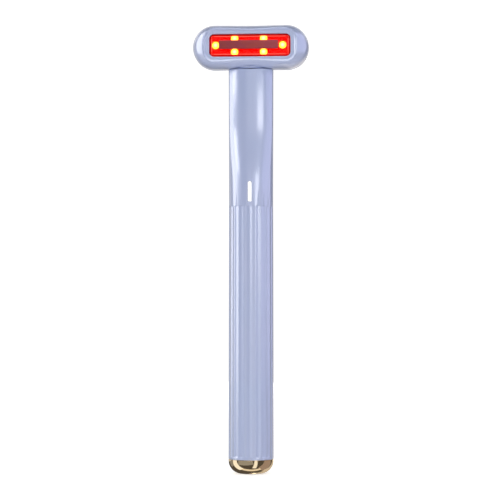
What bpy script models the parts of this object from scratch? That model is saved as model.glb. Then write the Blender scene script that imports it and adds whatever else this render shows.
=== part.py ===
# Red light therapy wand: a wide head with a lit window swivels on a slim fluted handle.
# +Z runs up the handle and its origin is the middle of the flat foot of the end cap.
# The window faces -Y and the head's long side lies along X.

import math

import bmesh
import bpy
from mathutils import Matrix, Vector

# Unit and small allowances
mm = 0.001
seat_gap = 0.3 * mm
run_gap = 0.2 * mm
pipe_gap = 0.1 * mm
cut_overrun = 1.5 * mm
weld_distance = 0.0005 * mm

# Handle, from the foot up
cap_height = 5.4 * mm
cap_foot_radius = 3.5 * mm
cap_wall = 1.4 * mm
cap_plug_length = 5.5 * mm
cap_plug_wall = 1.6 * mm
handle_foot_radius = 8.4 * mm
handle_waist_radius = 8.33 * mm
neck_radius = 8.46 * mm
barrel_wall = 1.3 * mm
rim_height = 0.6 * mm
flute_length = 93.7 * mm
neck_length = 51.2 * mm

# Flutes
flute_count = 24
flute_depth = 0.32 * mm
flute_width = 1.75 * mm

# Scoop in the front of the neck, and the slope at its top under the head's chin
scoop_depth = 2.7 * mm
scoop_power = 2.9
scoop_below_step = 3.6 * mm
scoop_run_share = 0.56
relief_drop = 1.1 * mm
relief_rim = 0.2 * mm

# Seal in the end cap's plug
seal_thickness = 1.0 * mm
seal_height_share = 0.55

# Controls: lit slot in front, push button behind
controls_rise = 5.07 * mm
slot_length = 7.5 * mm
slot_width = 1.35 * mm
slot_foot_radius = 0.25 * mm
button_length = 8.0 * mm
button_width = 4.4 * mm
button_proud = 0.35 * mm
button_travel = 0.35 * mm
button_flange_lip = 0.9 * mm
button_flange_thickness = 0.7 * mm
button_edge = 0.5 * mm
step_allowance = 0.6 * mm

# Chassis, boards and their fittings
chassis_wall = 1.0 * mm
bulkhead_thickness = 1.0 * mm
board_thickness = 1.0 * mm
board_edge_inset = 0.5 * mm
chip_size = 5.0 * mm
chip_height = 0.9 * mm
switch_size = 4.2 * mm
switch_height = 2.2 * mm
plunger_radius = 0.9 * mm
diode_length = 1.6 * mm
diode_width = 0.8 * mm
diode_height = 0.7 * mm
screw_radius = 0.5 * mm
screw_head_radius = 1.1 * mm
screw_head_height = 0.7 * mm
screw_length = 3.4 * mm
screw_rise_share = 0.55
boss_wall = 0.8 * mm
plug_width = 4.0 * mm
plug_depth = 3.2 * mm
plug_height = 3.2 * mm

# Cell and its leads
cell_length = 44.0 * mm
cell_shift = 0.4 * mm
cell_edge = 0.6 * mm
tab_thickness = 0.2 * mm
tab_width = 4.0 * mm
lead_radius = 0.45 * mm
lead_spacing = 1.6 * mm
bend_share = 0.45

# Charging socket in the back of the handle
socket_width = 8.94 * mm
socket_height = 3.26 * mm
socket_depth = 7.3 * mm
socket_wall = 0.3 * mm
socket_set_back = 0.15 * mm
tongue_width = 6.7 * mm
tongue_thickness = 0.7 * mm
tongue_set_back = 0.8 * mm
landing_margin = 1.7 * mm
landing_depth = 0.65 * mm
port_margin = 1.5 * mm

# Head: outline seen from the front, then its depths from the swivel axis
head_width = 43.6 * mm
head_height = 16.5 * mm
head_end_flat = 0.2 * mm
face_depth = 8.4 * mm
widest_front = 1.6 * mm
widest_back = 0.8 * mm
back_depth = 7.2 * mm
back_inset = 5.5 * mm
lip_end_inset = 4.35 * mm
lip_side_inset = 1.95 * mm
lip_corner_radius = 4.75 * mm
lip_slope = math.radians(60.0)
side_waist = 0.13 * mm
lip_waist = 0.55 * mm
lip_softness = 0.25 * mm
dish_depth = 0.8 * mm
dish_inset = 0.6 * mm
head_wall = 1.4 * mm
face_thickness = 1.4 * mm
tongue_reach = 1.0 * mm
rim_share = 0.4

# Window, plate and light engine
window_end_inset = 2.25 * mm
window_side_inset = 2.05 * mm
window_corner_radius = 1.8 * mm
window_edge = 0.25 * mm
lens_flange_lip = 0.8 * mm
lens_flange_thickness = 0.8 * mm
lens_set_back = 0.3 * mm
lens_bevel_width = 0.7 * mm
lens_bevel_height = 0.35 * mm
plate_length_share = 0.717
plate_height_share = 0.335
plate_thickness = 0.45 * mm
plate_lift = 0.15 * mm
stud_radius = 0.5 * mm
stud_inset = 1.6 * mm
reflector_thickness = 0.8 * mm
stack_end_lip = 1.1 * mm
stack_side_lip = 0.75 * mm
led_radius = 1.35 * mm
led_base_size = 3.0 * mm
led_base_height = 0.7 * mm
led_dome_height = 1.1 * mm
led_end_share = 0.4145
led_inner_share = 0.1793
led_row_share = 0.3
led_lift = 0.3 * mm

# Swivel
shaft_radius = 2.3 * mm
shaft_bore_radius = 1.3 * mm
flange_length = 13.0 * mm
flange_width = 7.0 * mm
flange_thickness = 1.2 * mm
seat_height = 0.8 * mm
keeper_thickness = 1.0 * mm
floor_thickness = 3.0 * mm
bushing_wall = 0.8 * mm
bushing_flange_radius = 4.0 * mm
bushing_flange_thickness = 0.9 * mm
stop_skirt = 1.6 * mm
tooth_width = 1.4 * mm
swivel_limit = math.radians(90.0)
stop_slack = math.radians(4.0)
washer_thickness = 0.5 * mm
washer_radius = 3.9 * mm
clip_thickness = 0.6 * mm
clip_radius = 3.7 * mm
clip_mouth = 2.8 * mm
groove_depth = 0.5 * mm
shaft_tail = 0.8 * mm

# Pegs that join the two shells of the head
peg_radius = 0.6 * mm
peg_post_radius = 1.0 * mm
peg_boss_radius = 1.5 * mm
peg_length = 2.2 * mm
peg_inset = 4.1 * mm
pillar_radius = 0.8 * mm
pillar_place_share = 0.534
pillar_rise = 2.0 * mm

# Vibration motor
motor_end_room = 2.3 * mm
motor_boot_wall = 0.5 * mm
motor_boot_share = 0.72
motor_offset = 2.2 * mm
motor_shaft_radius = 0.4 * mm
weight_radius_share = 0.94
weight_length = 2.6 * mm
weight_gap = 0.6 * mm

# Numbers of facets
barrel_steps = 72
turned_steps = 40
small_steps = 16
led_steps = 12
corner_steps = 7
side_steps = 6
slab_corner_steps = 3
scoop_steps = 7
roll_steps = 5
dome_steps = 3
bend_steps = 3
back_steps = 6

# Places along the handle
plug_top = cap_height + cap_plug_length
barrel_bottom = cap_height + seat_gap
flute_bottom = barrel_bottom + rim_height
flute_top = flute_bottom + flute_length
neck_top = flute_top + neck_length
controls_height = flute_top + controls_rise
bore_step = controls_height + button_length / 2 + button_flange_lip + step_allowance
scoop_foot = bore_step - scoop_below_step
scoop_run = (neck_top - scoop_foot) * scoop_run_share
scoop_flat_foot = scoop_foot + scoop_run
floor_bottom = neck_top - floor_thickness

# Radii across the handle
bore_radius = min(handle_waist_radius, handle_foot_radius) - barrel_wall
neck_bore_radius = neck_radius - scoop_depth - barrel_wall
chassis_radius = bore_radius - seat_gap
chassis_inner_radius = chassis_radius - chassis_wall
cell_radius = chassis_inner_radius - seat_gap - cell_shift
cap_plug_radius = bore_radius - seat_gap

# Places in the handle
chassis_bottom = plug_top + seat_gap
chassis_top = bore_step - seat_gap
socket_middle = plug_top + port_margin + socket_width / 2
landing_level = handle_foot_radius - landing_depth
socket_mouth = landing_level - socket_set_back
charge_board_bottom = chassis_bottom + seat_gap
charge_board_top = socket_middle + socket_width / 2 + port_margin
cell_bay_bottom = charge_board_top + seat_gap + bulkhead_thickness
cell_bottom = cell_bay_bottom + 2 * seat_gap + tab_thickness
cell_top = cell_bottom + cell_length
cell_bay_top = cell_top + 2 * seat_gap + tab_thickness
board_front = seat_gap
board_back = board_front + board_thickness
main_board_bottom = cell_bay_top + bulkhead_thickness + board_edge_inset
main_board_top = chassis_top - board_edge_inset
main_board_half_width = chassis_radius - board_edge_inset
lead_turn_up = main_board_bottom + 4 * lead_radius
lead_finish = lead_turn_up + 4 * lead_radius
flange_outer_level = (
    math.sqrt(bore_radius ** 2 - (button_width / 2 + button_flange_lip) ** 2) - seat_gap
)
flange_inner_level = flange_outer_level - button_flange_thickness
switch_back = board_back + seat_gap + switch_height
plunger_top = flange_inner_level - seat_gap
plunger_bottom = switch_back - seat_gap - button_travel
plunger_well = plunger_bottom - button_travel - seat_gap
diode_front = board_front - seat_gap - diode_height
guide_inner_level = diode_front - seat_gap

# Outlines in the head
lip_width = head_width - 2 * lip_end_inset
lip_height = head_height - 2 * lip_side_inset
window_width = lip_width - 2 * window_end_inset
window_height = lip_height - 2 * window_side_inset
plate_length = window_width * plate_length_share
plate_height = window_height * plate_height_share
stud_spacing = plate_length - 2 * stud_inset
stack_half_width = window_width / 2 + stack_end_lip
stack_height = window_height + 2 * stack_side_lip
led_end_offset = window_width * led_end_share
led_inner_offset = window_width * led_inner_share
led_row_rise = window_height * led_row_share

# Places in the head, from its middle
head_middle = neck_top + seat_gap + head_height / 2
parting = widest_back / 2
rear_edge = parting + seat_gap / 2
front_edge = parting - seat_gap / 2
bezel_level = dish_depth - face_depth
face_inner_level = bezel_level + face_thickness
lens_front = bezel_level + lens_set_back
lens_flange_front = face_inner_level + seat_gap
lens_back = lens_flange_front + lens_flange_thickness
plate_back = lens_front - plate_lift
plate_front = plate_back - plate_thickness
reflector_front = lens_back + seat_gap
reflector_back = reflector_front + reflector_thickness
led_tip = reflector_front + seat_gap
led_base_front = led_tip + led_dome_height
led_base_back = led_base_front + led_base_height
led_board_front = led_base_back + seat_gap
led_board_back = led_board_front + board_thickness
peg_offset = head_width / 2 - peg_inset
pillar_offset = peg_offset * pillar_place_share
inner_floor = -head_height / 2 + head_wall
seat_top = inner_floor + seat_height
pillar_height = inner_floor + pillar_rise + pillar_radius
flange_bottom = seat_top + seat_gap
flange_top = flange_bottom + flange_thickness
keeper_bottom = flange_top + seat_gap
keeper_top = keeper_bottom + keeper_thickness
back_inner_level = back_depth - head_wall
motor_depth = (led_board_back + back_inner_level) / 2
boot_radius = (back_inner_level - led_board_back) / 2 - seat_gap
motor_radius = boot_radius - motor_boot_wall - seat_gap
weight_radius = motor_radius * weight_radius_share
motor_rise = keeper_top + seat_gap + boot_radius
weight_end = peg_offset - peg_boss_radius - motor_end_room
motor_end = weight_end - weight_length - weight_gap
motor_length = motor_end - motor_offset
motor_boot_length = motor_length * motor_boot_share

# Places on the swivel, from the neck's top
counterbore_depth = bushing_flange_thickness + seat_gap
bushing_bottom = -floor_thickness - stop_skirt
bushing_bore = shaft_radius + run_gap
bushing_radius = bushing_bore + bushing_wall
washer_top = bushing_bottom - seat_gap
washer_bottom = washer_top - washer_thickness
clip_top = washer_bottom - seat_gap
clip_bottom = clip_top - clip_thickness
groove_top = clip_top + seat_gap / 2
groove_bottom = clip_bottom - seat_gap / 2
groove_radius = shaft_radius - groove_depth
shaft_bottom = groove_bottom - shaft_tail
tooth_top = -floor_thickness - seat_gap
tooth_bottom = bushing_bottom
tooth_half_angle = math.atan2(tooth_width / 2, bushing_bore)


# Scene, collections and materials

def clear_scene():
    """Take every object out of the scene, so that the model starts alone."""
    for old in list(bpy.data.objects):
        bpy.data.objects.remove(old, do_unlink=True)


def new_collection(name):
    """A collection in the scene."""
    collection = bpy.data.collections.new(name)
    bpy.context.scene.collection.children.link(collection)
    return collection


def new_material(name, colour, roughness, metallic=0.0):
    """A Principled BSDF with one colour, roughness and metallic value."""
    material = bpy.data.materials.new(name)
    material.use_nodes = True
    material.diffuse_color = (*colour, 1.0)
    shader = material.node_tree.nodes["Principled BSDF"]
    shader.inputs["Base Color"].default_value = (*colour, 1.0)
    shader.inputs["Roughness"].default_value = roughness
    shader.inputs["Metallic"].default_value = metallic
    return material


clear_scene()
parts = new_collection("red_light_therapy_wand")
tools = new_collection("cutters_and_joiners")

lavender = new_material("lavender_plastic", (0.42, 0.46, 0.68), 0.3)
gold = new_material("champagne_gold", (0.78, 0.66, 0.45), 0.16, 1.0)
red_lens = new_material("red_lens", (0.85, 0.02, 0.02), 0.1)
steel = new_material("steel", (0.6, 0.58, 0.56), 0.3, 1.0)
brass = new_material("brass", (0.7, 0.52, 0.25), 0.35, 1.0)
white_plastic = new_material("white_plastic", (0.85, 0.85, 0.83), 0.4)
grey_plastic = new_material("grey_plastic", (0.25, 0.26, 0.28), 0.5)
black_plastic = new_material("black_plastic", (0.03, 0.03, 0.035), 0.4)
board_green = new_material("board_green", (0.02, 0.16, 0.07), 0.45)
rubber = new_material("rubber", (0.04, 0.04, 0.045), 0.8)
led_yellow = new_material("led_yellow", (0.95, 0.8, 0.25), 0.2)
cell_sleeve = new_material("cell_sleeve", (0.1, 0.25, 0.6), 0.35)
lead_black = new_material("lead_black", (0.03, 0.03, 0.03), 0.5)
lead_red = new_material("lead_red", (0.6, 0.03, 0.03), 0.5)


# Objects, outlines and meshes

def new_part(name, mesh, material, parent=None, place=(0, 0, 0)):
    """An object of the wand, on its parent if it has one."""
    part = bpy.data.objects.new(name, mesh)
    parts.objects.link(part)
    part.parent = parent
    part.location = place
    if material is not None:
        mesh.materials.append(material)
    mesh.shade_smooth()
    mesh.set_sharp_from_angle(angle=math.radians(32))
    return part


def new_pivot(name, place):
    """An empty on a joint's axis, which its moving pieces are parented to."""
    pivot = bpy.data.objects.new(name, None)
    parts.objects.link(pivot)
    pivot.location = place
    return pivot


def apply_tool(part, mesh, operation):
    """Cut the part with a mesh given in the part's own coordinates, or join the mesh to it."""
    tool = bpy.data.objects.new(f"{part.name}_{operation.lower()}_{len(part.modifiers)}", mesh)
    tools.objects.link(tool)
    tool.parent = part
    tool.hide_render = True
    tool.display_type = "WIRE"
    modifier = part.modifiers.new(operation.title(), "BOOLEAN")
    modifier.operation = operation
    modifier.solver = "EXACT"
    modifier.object = tool


def cut(part, mesh):
    """Take a mesh away from a part."""
    apply_tool(part, mesh, "DIFFERENCE")


def join(part, mesh):
    """Add a mesh to a part."""
    apply_tool(part, mesh, "UNION")


def soften(part, width, segments=2):
    """Round a part's sharp edges."""
    bevel = part.modifiers.new("Rounded edges", "BEVEL")
    bevel.width = width
    bevel.segments = segments
    bevel.limit_method = "ANGLE"
    bevel.angle_limit = math.radians(40)


def rounded_outline(half_width, half_height, radius, steps):
    """Points of a rounded rectangle, each corner an arc, anticlockwise."""
    points = []
    for quarter, (side, rise) in enumerate(((1, 1), (-1, 1), (-1, -1), (1, -1))):
        centre = Vector((side * (half_width - radius), rise * (half_height - radius)))
        for step in range(steps + 1):
            angle = (quarter + step / steps) * math.pi / 2
            points.append(centre + radius * Vector((math.cos(angle), math.sin(angle))))
    return points


def across_y(outline, depth):
    """Stand an outline up at one depth, facing along Y."""
    return [Vector((point[0], depth, point[1])) for point in outline]


def across_z(outline, height):
    """Lay an outline down at one height."""
    return [Vector((point[0], point[1], height)) for point in outline]


def loft(name, rings, closed=False):
    """A solid through rings of points: capped at both ends, or closed from the last ring to the first."""
    work = bmesh.new()
    rows = [[work.verts.new(point) for point in ring] for ring in rings]
    spans = list(zip(rows, rows[1:]))
    if closed:
        spans.append((rows[-1], rows[0]))
    else:
        work.faces.new(rows[0])
        work.faces.new(rows[-1])
    for row, following in spans:
        for place in range(len(row)):
            after = (place + 1) % len(row)
            work.faces.new((row[place], row[after], following[after], following[place]))
    bmesh.ops.remove_doubles(work, verts=work.verts, dist=weld_distance)
    bmesh.ops.recalc_face_normals(work, faces=work.faces)
    bmesh.ops.triangulate(work, faces=[face for face in work.faces if len(face.verts) == 4])
    mesh = bpy.data.meshes.new(name)
    work.to_mesh(mesh)
    work.free()
    return mesh


def cylinder(name, radius, start, end, steps=small_steps, end_radius=None):
    """A round bar, or a cone, between two points."""
    start, end = Vector(start), Vector(end)
    run = end - start
    turn = run.to_track_quat("Z", "Y").to_matrix().to_4x4()
    work = bmesh.new()
    bmesh.ops.create_cone(
        work, cap_ends=True, segments=steps, radius1=radius,
        radius2=radius if end_radius is None else end_radius, depth=run.length,
        matrix=Matrix.Translation((start + end) / 2) @ turn,
    )
    mesh = bpy.data.meshes.new(name)
    work.to_mesh(mesh)
    work.free()
    return mesh


def block(name, low, high):
    """A box between two corners."""
    low, high = Vector(low), Vector(high)
    work = bmesh.new()
    bmesh.ops.create_cube(work, size=1.0)
    bmesh.ops.scale(work, vec=high - low, verts=work.verts)
    bmesh.ops.translate(work, vec=(low + high) / 2, verts=work.verts)
    mesh = bpy.data.meshes.new(name)
    work.to_mesh(mesh)
    work.free()
    return mesh


def profile_mesh(name, profile, closed):
    """A line of (radius, height) points in the XZ plane, for a Screw modifier to turn."""
    mesh = bpy.data.meshes.new(name)
    edges = [(step, step + 1) for step in range(len(profile) - 1)]
    if closed:
        edges.append((len(profile) - 1, 0))
    mesh.from_pydata([(radius, 0, height) for radius, height in profile], edges, [])
    return mesh


def turned(name, profile, material, parent=None, place=(0, 0, 0), closed=False, steps=turned_steps):
    """A turned piece: its profile runs down the outer side, and closed profiles go back up the bore."""
    part = new_part(name, profile_mesh(name, profile, closed), material, parent, place)
    screw = part.modifiers.new("Turned", "SCREW")
    screw.steps = steps
    screw.render_steps = steps
    screw.use_merge_vertices = True
    screw.merge_threshold = weld_distance
    screw.use_smooth_shade = True
    return part


def quarter_arc(centre, radius, start, end, steps):
    """Points of an arc between two angles in degrees, with both ends."""
    points = []
    for step in range(steps + 1):
        angle = math.radians(start + (end - start) * step / steps)
        points.append((centre[0] + radius * math.cos(angle), centre[1] + radius * math.sin(angle)))
    return points


def lead(name, route, radius, material, parent=None, place=(0, 0, 0)):
    """An insulated wire: straight runs between the points of its route, with a round bend at each."""
    points = [Vector(point) for point in route]
    path = [points[0]]
    for before, corner, after in zip(points, points[1:], points[2:]):
        reach = bend_share * min((corner - before).length, (after - corner).length)
        start = corner + (before - corner).normalized() * reach
        end = corner + (after - corner).normalized() * reach
        for step in range(bend_steps + 1):
            share = step / bend_steps
            path.append((1 - share) ** 2 * start + 2 * share * (1 - share) * corner + share ** 2 * end)
    path.append(points[-1])
    curve = bpy.data.curves.new(name, "CURVE")
    curve.dimensions = "3D"
    curve.bevel_depth = radius
    curve.bevel_resolution = 1
    curve.use_fill_caps = True
    spline = curve.splines.new("POLY")
    spline.points.add(len(path) - 1)
    for slot, point in zip(spline.points, path):
        slot.co = (*point, 1.0)
    part = bpy.data.objects.new(name, curve)
    parts.objects.link(part)
    part.parent = parent
    part.location = place
    curve.materials.append(material)
    return part


# Handle barrel

def neck_reach(angle, radius, flat):
    """Distance from the axis to the barrel's skin, whose front goes from round to a flat with soft corners."""
    lean = abs(math.atan2(math.sin(angle + math.pi / 2), math.cos(angle + math.pi / 2)))
    if lean >= math.pi / 2 or flat >= radius:
        return radius
    power = 2 + (scoop_power - 2) * (radius - flat) / scoop_depth
    return ((math.sin(lean) / radius) ** power + (math.cos(lean) / flat) ** power) ** (-1 / power)


def barrel_ring(height, radius, flat=None):
    """One ring of the barrel's skin."""
    ring = []
    for step in range(barrel_steps):
        angle = 2 * math.pi * step / barrel_steps
        reach = neck_reach(angle, radius, radius if flat is None else flat)
        ring.append(Vector((reach * math.cos(angle), reach * math.sin(angle), height)))
    return ring


def skin_radius(height):
    """The barrel's radius: it narrows to the top of the flutes and widens again up the neck."""
    if height <= flute_top:
        share = (height - barrel_bottom) / (flute_top - barrel_bottom)
        return handle_foot_radius + (handle_waist_radius - handle_foot_radius) * share
    share = (height - flute_top) / neck_length
    return handle_waist_radius + (neck_radius - handle_waist_radius) * share


def barrel_skin():
    """The outside of the barrel: straight grip, plain band, and the scooped neck."""
    rings = [barrel_ring(height, skin_radius(height)) for height in (barrel_bottom, flute_top)]
    for step in range(scoop_steps + 1):
        share = step / scoop_steps
        height = scoop_foot + scoop_run * share
        radius = skin_radius(height)
        rings.append(barrel_ring(height, radius, radius - scoop_depth * share ** 2 * (3 - 2 * share)))
    rings.append(barrel_ring(neck_top, neck_radius, neck_radius - scoop_depth))
    return loft("barrel_skin", rings)


def flute_rods():
    """Round rods laid along the barrel, which cut one flute each."""
    rod_radius = (flute_width ** 2 / 4 + flute_depth ** 2) / (2 * flute_depth)
    work = bmesh.new()
    for number in range(flute_count):
        angle = 2 * math.pi * (number + 0.5) / flute_count - math.pi / 2
        out = Vector((math.cos(angle), math.sin(angle), 0))
        low = out * (skin_radius(flute_bottom) - flute_depth + rod_radius)
        high = out * (skin_radius(flute_top) - flute_depth + rod_radius)
        low.z, high.z = flute_bottom, flute_top
        run = high - low
        turn = run.to_track_quat("Z", "Y").to_matrix().to_4x4()
        bmesh.ops.create_cone(
            work, cap_ends=True, segments=small_steps, radius1=rod_radius, radius2=rod_radius,
            depth=run.length, matrix=Matrix.Translation((low + high) / 2) @ turn,
        )
    mesh = bpy.data.meshes.new("flute_rods")
    work.to_mesh(mesh)
    work.free()
    return mesh


def barrel_bore():
    """The room inside the barrel: wide for the chassis, narrow up the neck."""
    rings = []
    for radius, height in (
        (bore_radius, barrel_bottom - cut_overrun),
        (bore_radius, bore_step),
        (neck_bore_radius, bore_step),
        (neck_bore_radius, floor_bottom),
    ):
        outline = [
            (radius * math.cos(2 * math.pi * step / turned_steps),
             radius * math.sin(2 * math.pi * step / turned_steps))
            for step in range(turned_steps)
        ]
        rings.append(across_z(outline, height))
    return loft("barrel_bore", rings)


def pill_at_back(name, half_width, half_length, middle, low, high):
    """An upright pill-shaped prism through the back of the handle."""
    outline = rounded_outline(half_width, half_length, half_width - weld_distance, 2 * slab_corner_steps)
    outline = [point + Vector((0, middle)) for point in outline]
    return loft(name, [across_y(outline, low), across_y(outline, high)])


def slot_outline(grow):
    """The lit slot seen from the front: a round top and a nearly square foot."""
    half_width = slot_width / 2 + grow
    half_length = slot_length / 2 + grow
    top = rounded_outline(half_width, half_length, half_width - weld_distance, slab_corner_steps)
    foot = rounded_outline(half_width, half_length, slot_foot_radius + grow, slab_corner_steps)
    half = len(top) // 2
    return [point + Vector((0, controls_height)) for point in (*top[:half], *foot[half:])]


def front_relief():
    """A slope across the front of the neck's top, which leaves room under the head's chin."""
    start = bushing_flange_radius + seat_gap + relief_rim
    slope = relief_drop / (neck_radius - scoop_depth - start)
    end = neck_radius + cut_overrun
    outline = [
        (-start, neck_top), (-end, neck_top - slope * (end - start)),
        (-end, neck_top + cut_overrun), (-start, neck_top + cut_overrun),
    ]
    return loft("front_relief", [[Vector((across, *point)) for point in outline] for across in (-end, end)])


def make_barrel():
    """One moulding: fluted grip, scooped neck, and the floor that the swivel turns in."""
    barrel = new_part("handle_barrel", barrel_skin(), lavender)
    cut(barrel, flute_rods())
    outer = handle_foot_radius + cut_overrun
    cut(barrel, pill_at_back(
        "port_landing", socket_height / 2 + landing_margin, socket_width / 2 + landing_margin,
        socket_middle, landing_level, outer,
    ))
    cut(barrel, barrel_bore())
    cut(barrel, pill_at_back(
        "port_hole", socket_height / 2 + seat_gap, socket_width / 2 + seat_gap,
        socket_middle, bore_radius - cut_overrun, outer,
    ))
    cut(barrel, pill_at_back(
        "button_hole", button_width / 2 + seat_gap, button_length / 2 + seat_gap,
        controls_height, bore_radius - cut_overrun, outer,
    ))
    slot = slot_outline(pipe_gap)
    cut(barrel, loft("slot_hole", [across_y(slot, -outer), across_y(slot, cut_overrun - bore_radius)]))
    cut(barrel, cylinder(
        "swivel_hole", bushing_radius + seat_gap, (0, 0, floor_bottom - cut_overrun),
        (0, 0, neck_top + cut_overrun), turned_steps,
    ))
    cut(barrel, cylinder(
        "counterbore", bushing_flange_radius + seat_gap, (0, 0, neck_top - counterbore_depth),
        (0, 0, neck_top + cut_overrun), turned_steps,
    ))
    cut(barrel, front_relief())
    return barrel


# End cap and its seal

def make_end_cap():
    """A plated cap with a wide round edge, and a plug that goes up into the barrel."""
    fillet = handle_foot_radius - cap_foot_radius
    rise = min(fillet, cap_height)
    edge = [
        (cap_foot_radius + fillet * math.cos(angle), rise - rise * math.sin(angle))
        for angle in (math.pi / 2 * step / (roll_steps + 1) for step in range(roll_steps + 2))
    ]
    inner_foot = min(cap_wall, cap_height)
    groove_middle = cap_height + cap_plug_length * seal_height_share
    groove_half = seal_thickness / 2 + seat_gap / 2
    groove_radius_here = cap_plug_radius - seal_thickness
    inner = cap_plug_radius - cap_plug_wall
    profile = [
        (0, inner_foot),
        (inner - cap_wall, inner_foot),
        (inner, inner_foot + cap_wall),
        (inner, plug_top),
        (cap_plug_radius, plug_top),
        (cap_plug_radius, groove_middle + groove_half),
        (groove_radius_here, groove_middle + groove_half),
        (groove_radius_here, groove_middle - groove_half),
        (cap_plug_radius, groove_middle - groove_half),
        (cap_plug_radius, cap_height),
        (handle_foot_radius, cap_height),
        *edge,
        (0, 0),
    ]
    return turned("end_cap", profile, gold)


def make_seal():
    """A rubber ring in the plug's groove."""
    middle = cap_height + cap_plug_length * seal_height_share
    half = seal_thickness / 2 - pipe_gap / 2
    centre = cap_plug_radius - seal_thickness + half + pipe_gap
    ring = quarter_arc((centre, middle), half, 90, -270, led_steps // 2)[:-1]
    return turned("end_cap_seal", ring, rubber, closed=True, steps=2 * led_steps)


# Chassis, boards and what they carry

def half_tube(name, outer, inner, low, high):
    """The front half of a tube."""
    outline = quarter_arc((0, 0), outer, 180, 360, small_steps)
    outline += quarter_arc((0, 0), inner, 360, 180, small_steps)
    return loft(name, [across_z(outline, low), across_z(outline, high)])


def half_disc(name, radius, low, high):
    """The front half of a disc."""
    outline = quarter_arc((0, 0), radius, 180, 360, small_steps)
    return loft(name, [across_z(outline, low), across_z(outline, high)])


def screw_heights():
    """The two heights where the main board is screwed down."""
    low = lead_finish + 2 * screw_head_radius
    high = low + (controls_height - low) * screw_rise_share
    return low, high


def make_chassis():
    """An open trough that holds the cell and both boards, with a wall at each bay's end."""
    chassis = new_part(
        "chassis",
        half_tube("chassis", chassis_radius, chassis_inner_radius, chassis_bottom, chassis_top),
        grey_plastic,
    )
    wall_radius = (chassis_radius + chassis_inner_radius) / 2
    for low in (cell_bay_bottom - bulkhead_thickness, cell_bay_top):
        join(chassis, half_disc("bulkhead", wall_radius, low, low + bulkhead_thickness))
    for height in screw_heights():
        join(chassis, cylinder(
            "screw_boss", screw_radius + seat_gap + boss_wall, (0, -wall_radius, height), (0, 0, height)
        ))
    for height in screw_heights():
        cut(chassis, cylinder(
            "screw_hole", screw_radius + seat_gap,
            (0, board_back + seat_gap - screw_length - seat_gap, height), (0, cut_overrun, height),
        ))
    opening = slot_outline(seat_gap)
    cut(chassis, loft("guide_hole", [
        across_y(opening, -chassis_radius - cut_overrun), across_y(opening, cut_overrun)
    ]))
    return chassis


def make_main_board():
    """The circuit board that lies on the trough's two edges."""
    board = new_part("main_board", block(
        "main_board", (-main_board_half_width, board_front, main_board_bottom),
        (main_board_half_width, board_back, main_board_top),
    ), board_green)
    for height in screw_heights():
        cut(board, cylinder(
            "board_hole", screw_radius + seat_gap, (0, board_front - cut_overrun, height),
            (0, board_back + cut_overrun, height),
        ))
    return board


def make_screw(name, height):
    """A small screw that holds the main board to the trough."""
    head_seat = board_back + seat_gap
    profile = [
        (0, screw_head_height),
        (screw_head_radius * 0.7, screw_head_height),
        (screw_head_radius, screw_head_height / 2),
        (screw_head_radius, 0),
        (screw_radius, 0),
        (screw_radius, screw_head_radius - screw_length),
        (0, -screw_length + seat_gap),
    ]
    screw = turned(name, profile, steel, place=(0, head_seat, height), steps=16)
    screw.rotation_euler = (-math.pi / 2, 0, 0)
    return screw


def make_board_parts():
    """What is soldered to the main board: controller, lead plug, indicator diode and push switch."""
    chip_low = sum(screw_heights()) / 2 - chip_size / 2
    chip = new_part("controller_chip", block(
        "controller_chip", (-chip_size / 2, board_back + seat_gap, chip_low),
        (chip_size / 2, board_back + seat_gap + chip_height, chip_low + chip_size),
    ), black_plastic)
    soften(chip, chip_height / 8, 1)

    plug_bottom = chassis_top + seat_gap
    plug = new_part("lead_plug", block(
        "lead_plug", (-plug_width / 2, -plug_depth / 2, plug_bottom),
        (plug_width / 2, plug_depth / 2, plug_bottom + plug_height),
    ), white_plastic)
    soften(plug, plug_height / 12, 1)

    diode = new_part("indicator_led", block(
        "indicator_led", (-diode_width / 2, diode_front, controls_height - diode_length / 2),
        (diode_width / 2, diode_front + diode_height, controls_height + diode_length / 2),
    ), led_yellow)
    soften(diode, diode_width / 10, 1)

    half = switch_size / 2
    switch = new_part("tact_switch", block(
        "tact_switch", (-half, board_back + seat_gap, controls_height - half),
        (half, switch_back, controls_height + half),
    ), black_plastic)
    soften(switch, switch_height / 10, 1)
    cut(switch, cylinder(
        "plunger_well", plunger_radius + seat_gap, (0, plunger_well, controls_height),
        (0, switch_back + cut_overrun, controls_height),
    ))
    return chip, plug, diode, switch


def make_light_guide():
    """The clear bar that carries the indicator's light through the wall."""
    outline = slot_outline(0)
    outer = math.sqrt(handle_waist_radius ** 2 - (slot_width / 2) ** 2)
    return new_part("indicator_lens", loft("indicator_lens", [
        across_y(outline, -outer), across_y(outline, guide_inner_level)
    ]), white_plastic)


def make_power_button():
    """A pill-shaped key in the back of the handle, kept in by its flange."""
    pivot = new_pivot("power_button_axis", (0, flange_outer_level, controls_height))
    half_width, half_length = button_width / 2, button_length / 2
    crown = handle_waist_radius + button_proud - flange_outer_level
    neck = rounded_outline(half_width, half_length, half_width - weld_distance, 2 * slab_corner_steps)
    edge = []
    for step in range(roll_steps + 1):
        angle = math.pi / 2 * step / roll_steps
        inset = button_edge * (1 - math.cos(angle))
        ring = rounded_outline(
            half_width - inset, half_length - inset, half_width - inset - weld_distance,
            2 * slab_corner_steps,
        )
        edge.append(across_y(ring, crown - button_edge + button_edge * math.sin(angle)))
    flange = rounded_outline(
        half_width + button_flange_lip, half_length + button_flange_lip,
        half_width + button_flange_lip - weld_distance, 2 * slab_corner_steps,
    )
    rings = [
        across_y(flange, -button_flange_thickness), across_y(flange, 0), across_y(neck, 0), *edge
    ]
    return new_part("power_button", loft("power_button", rings), lavender, pivot)


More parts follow.
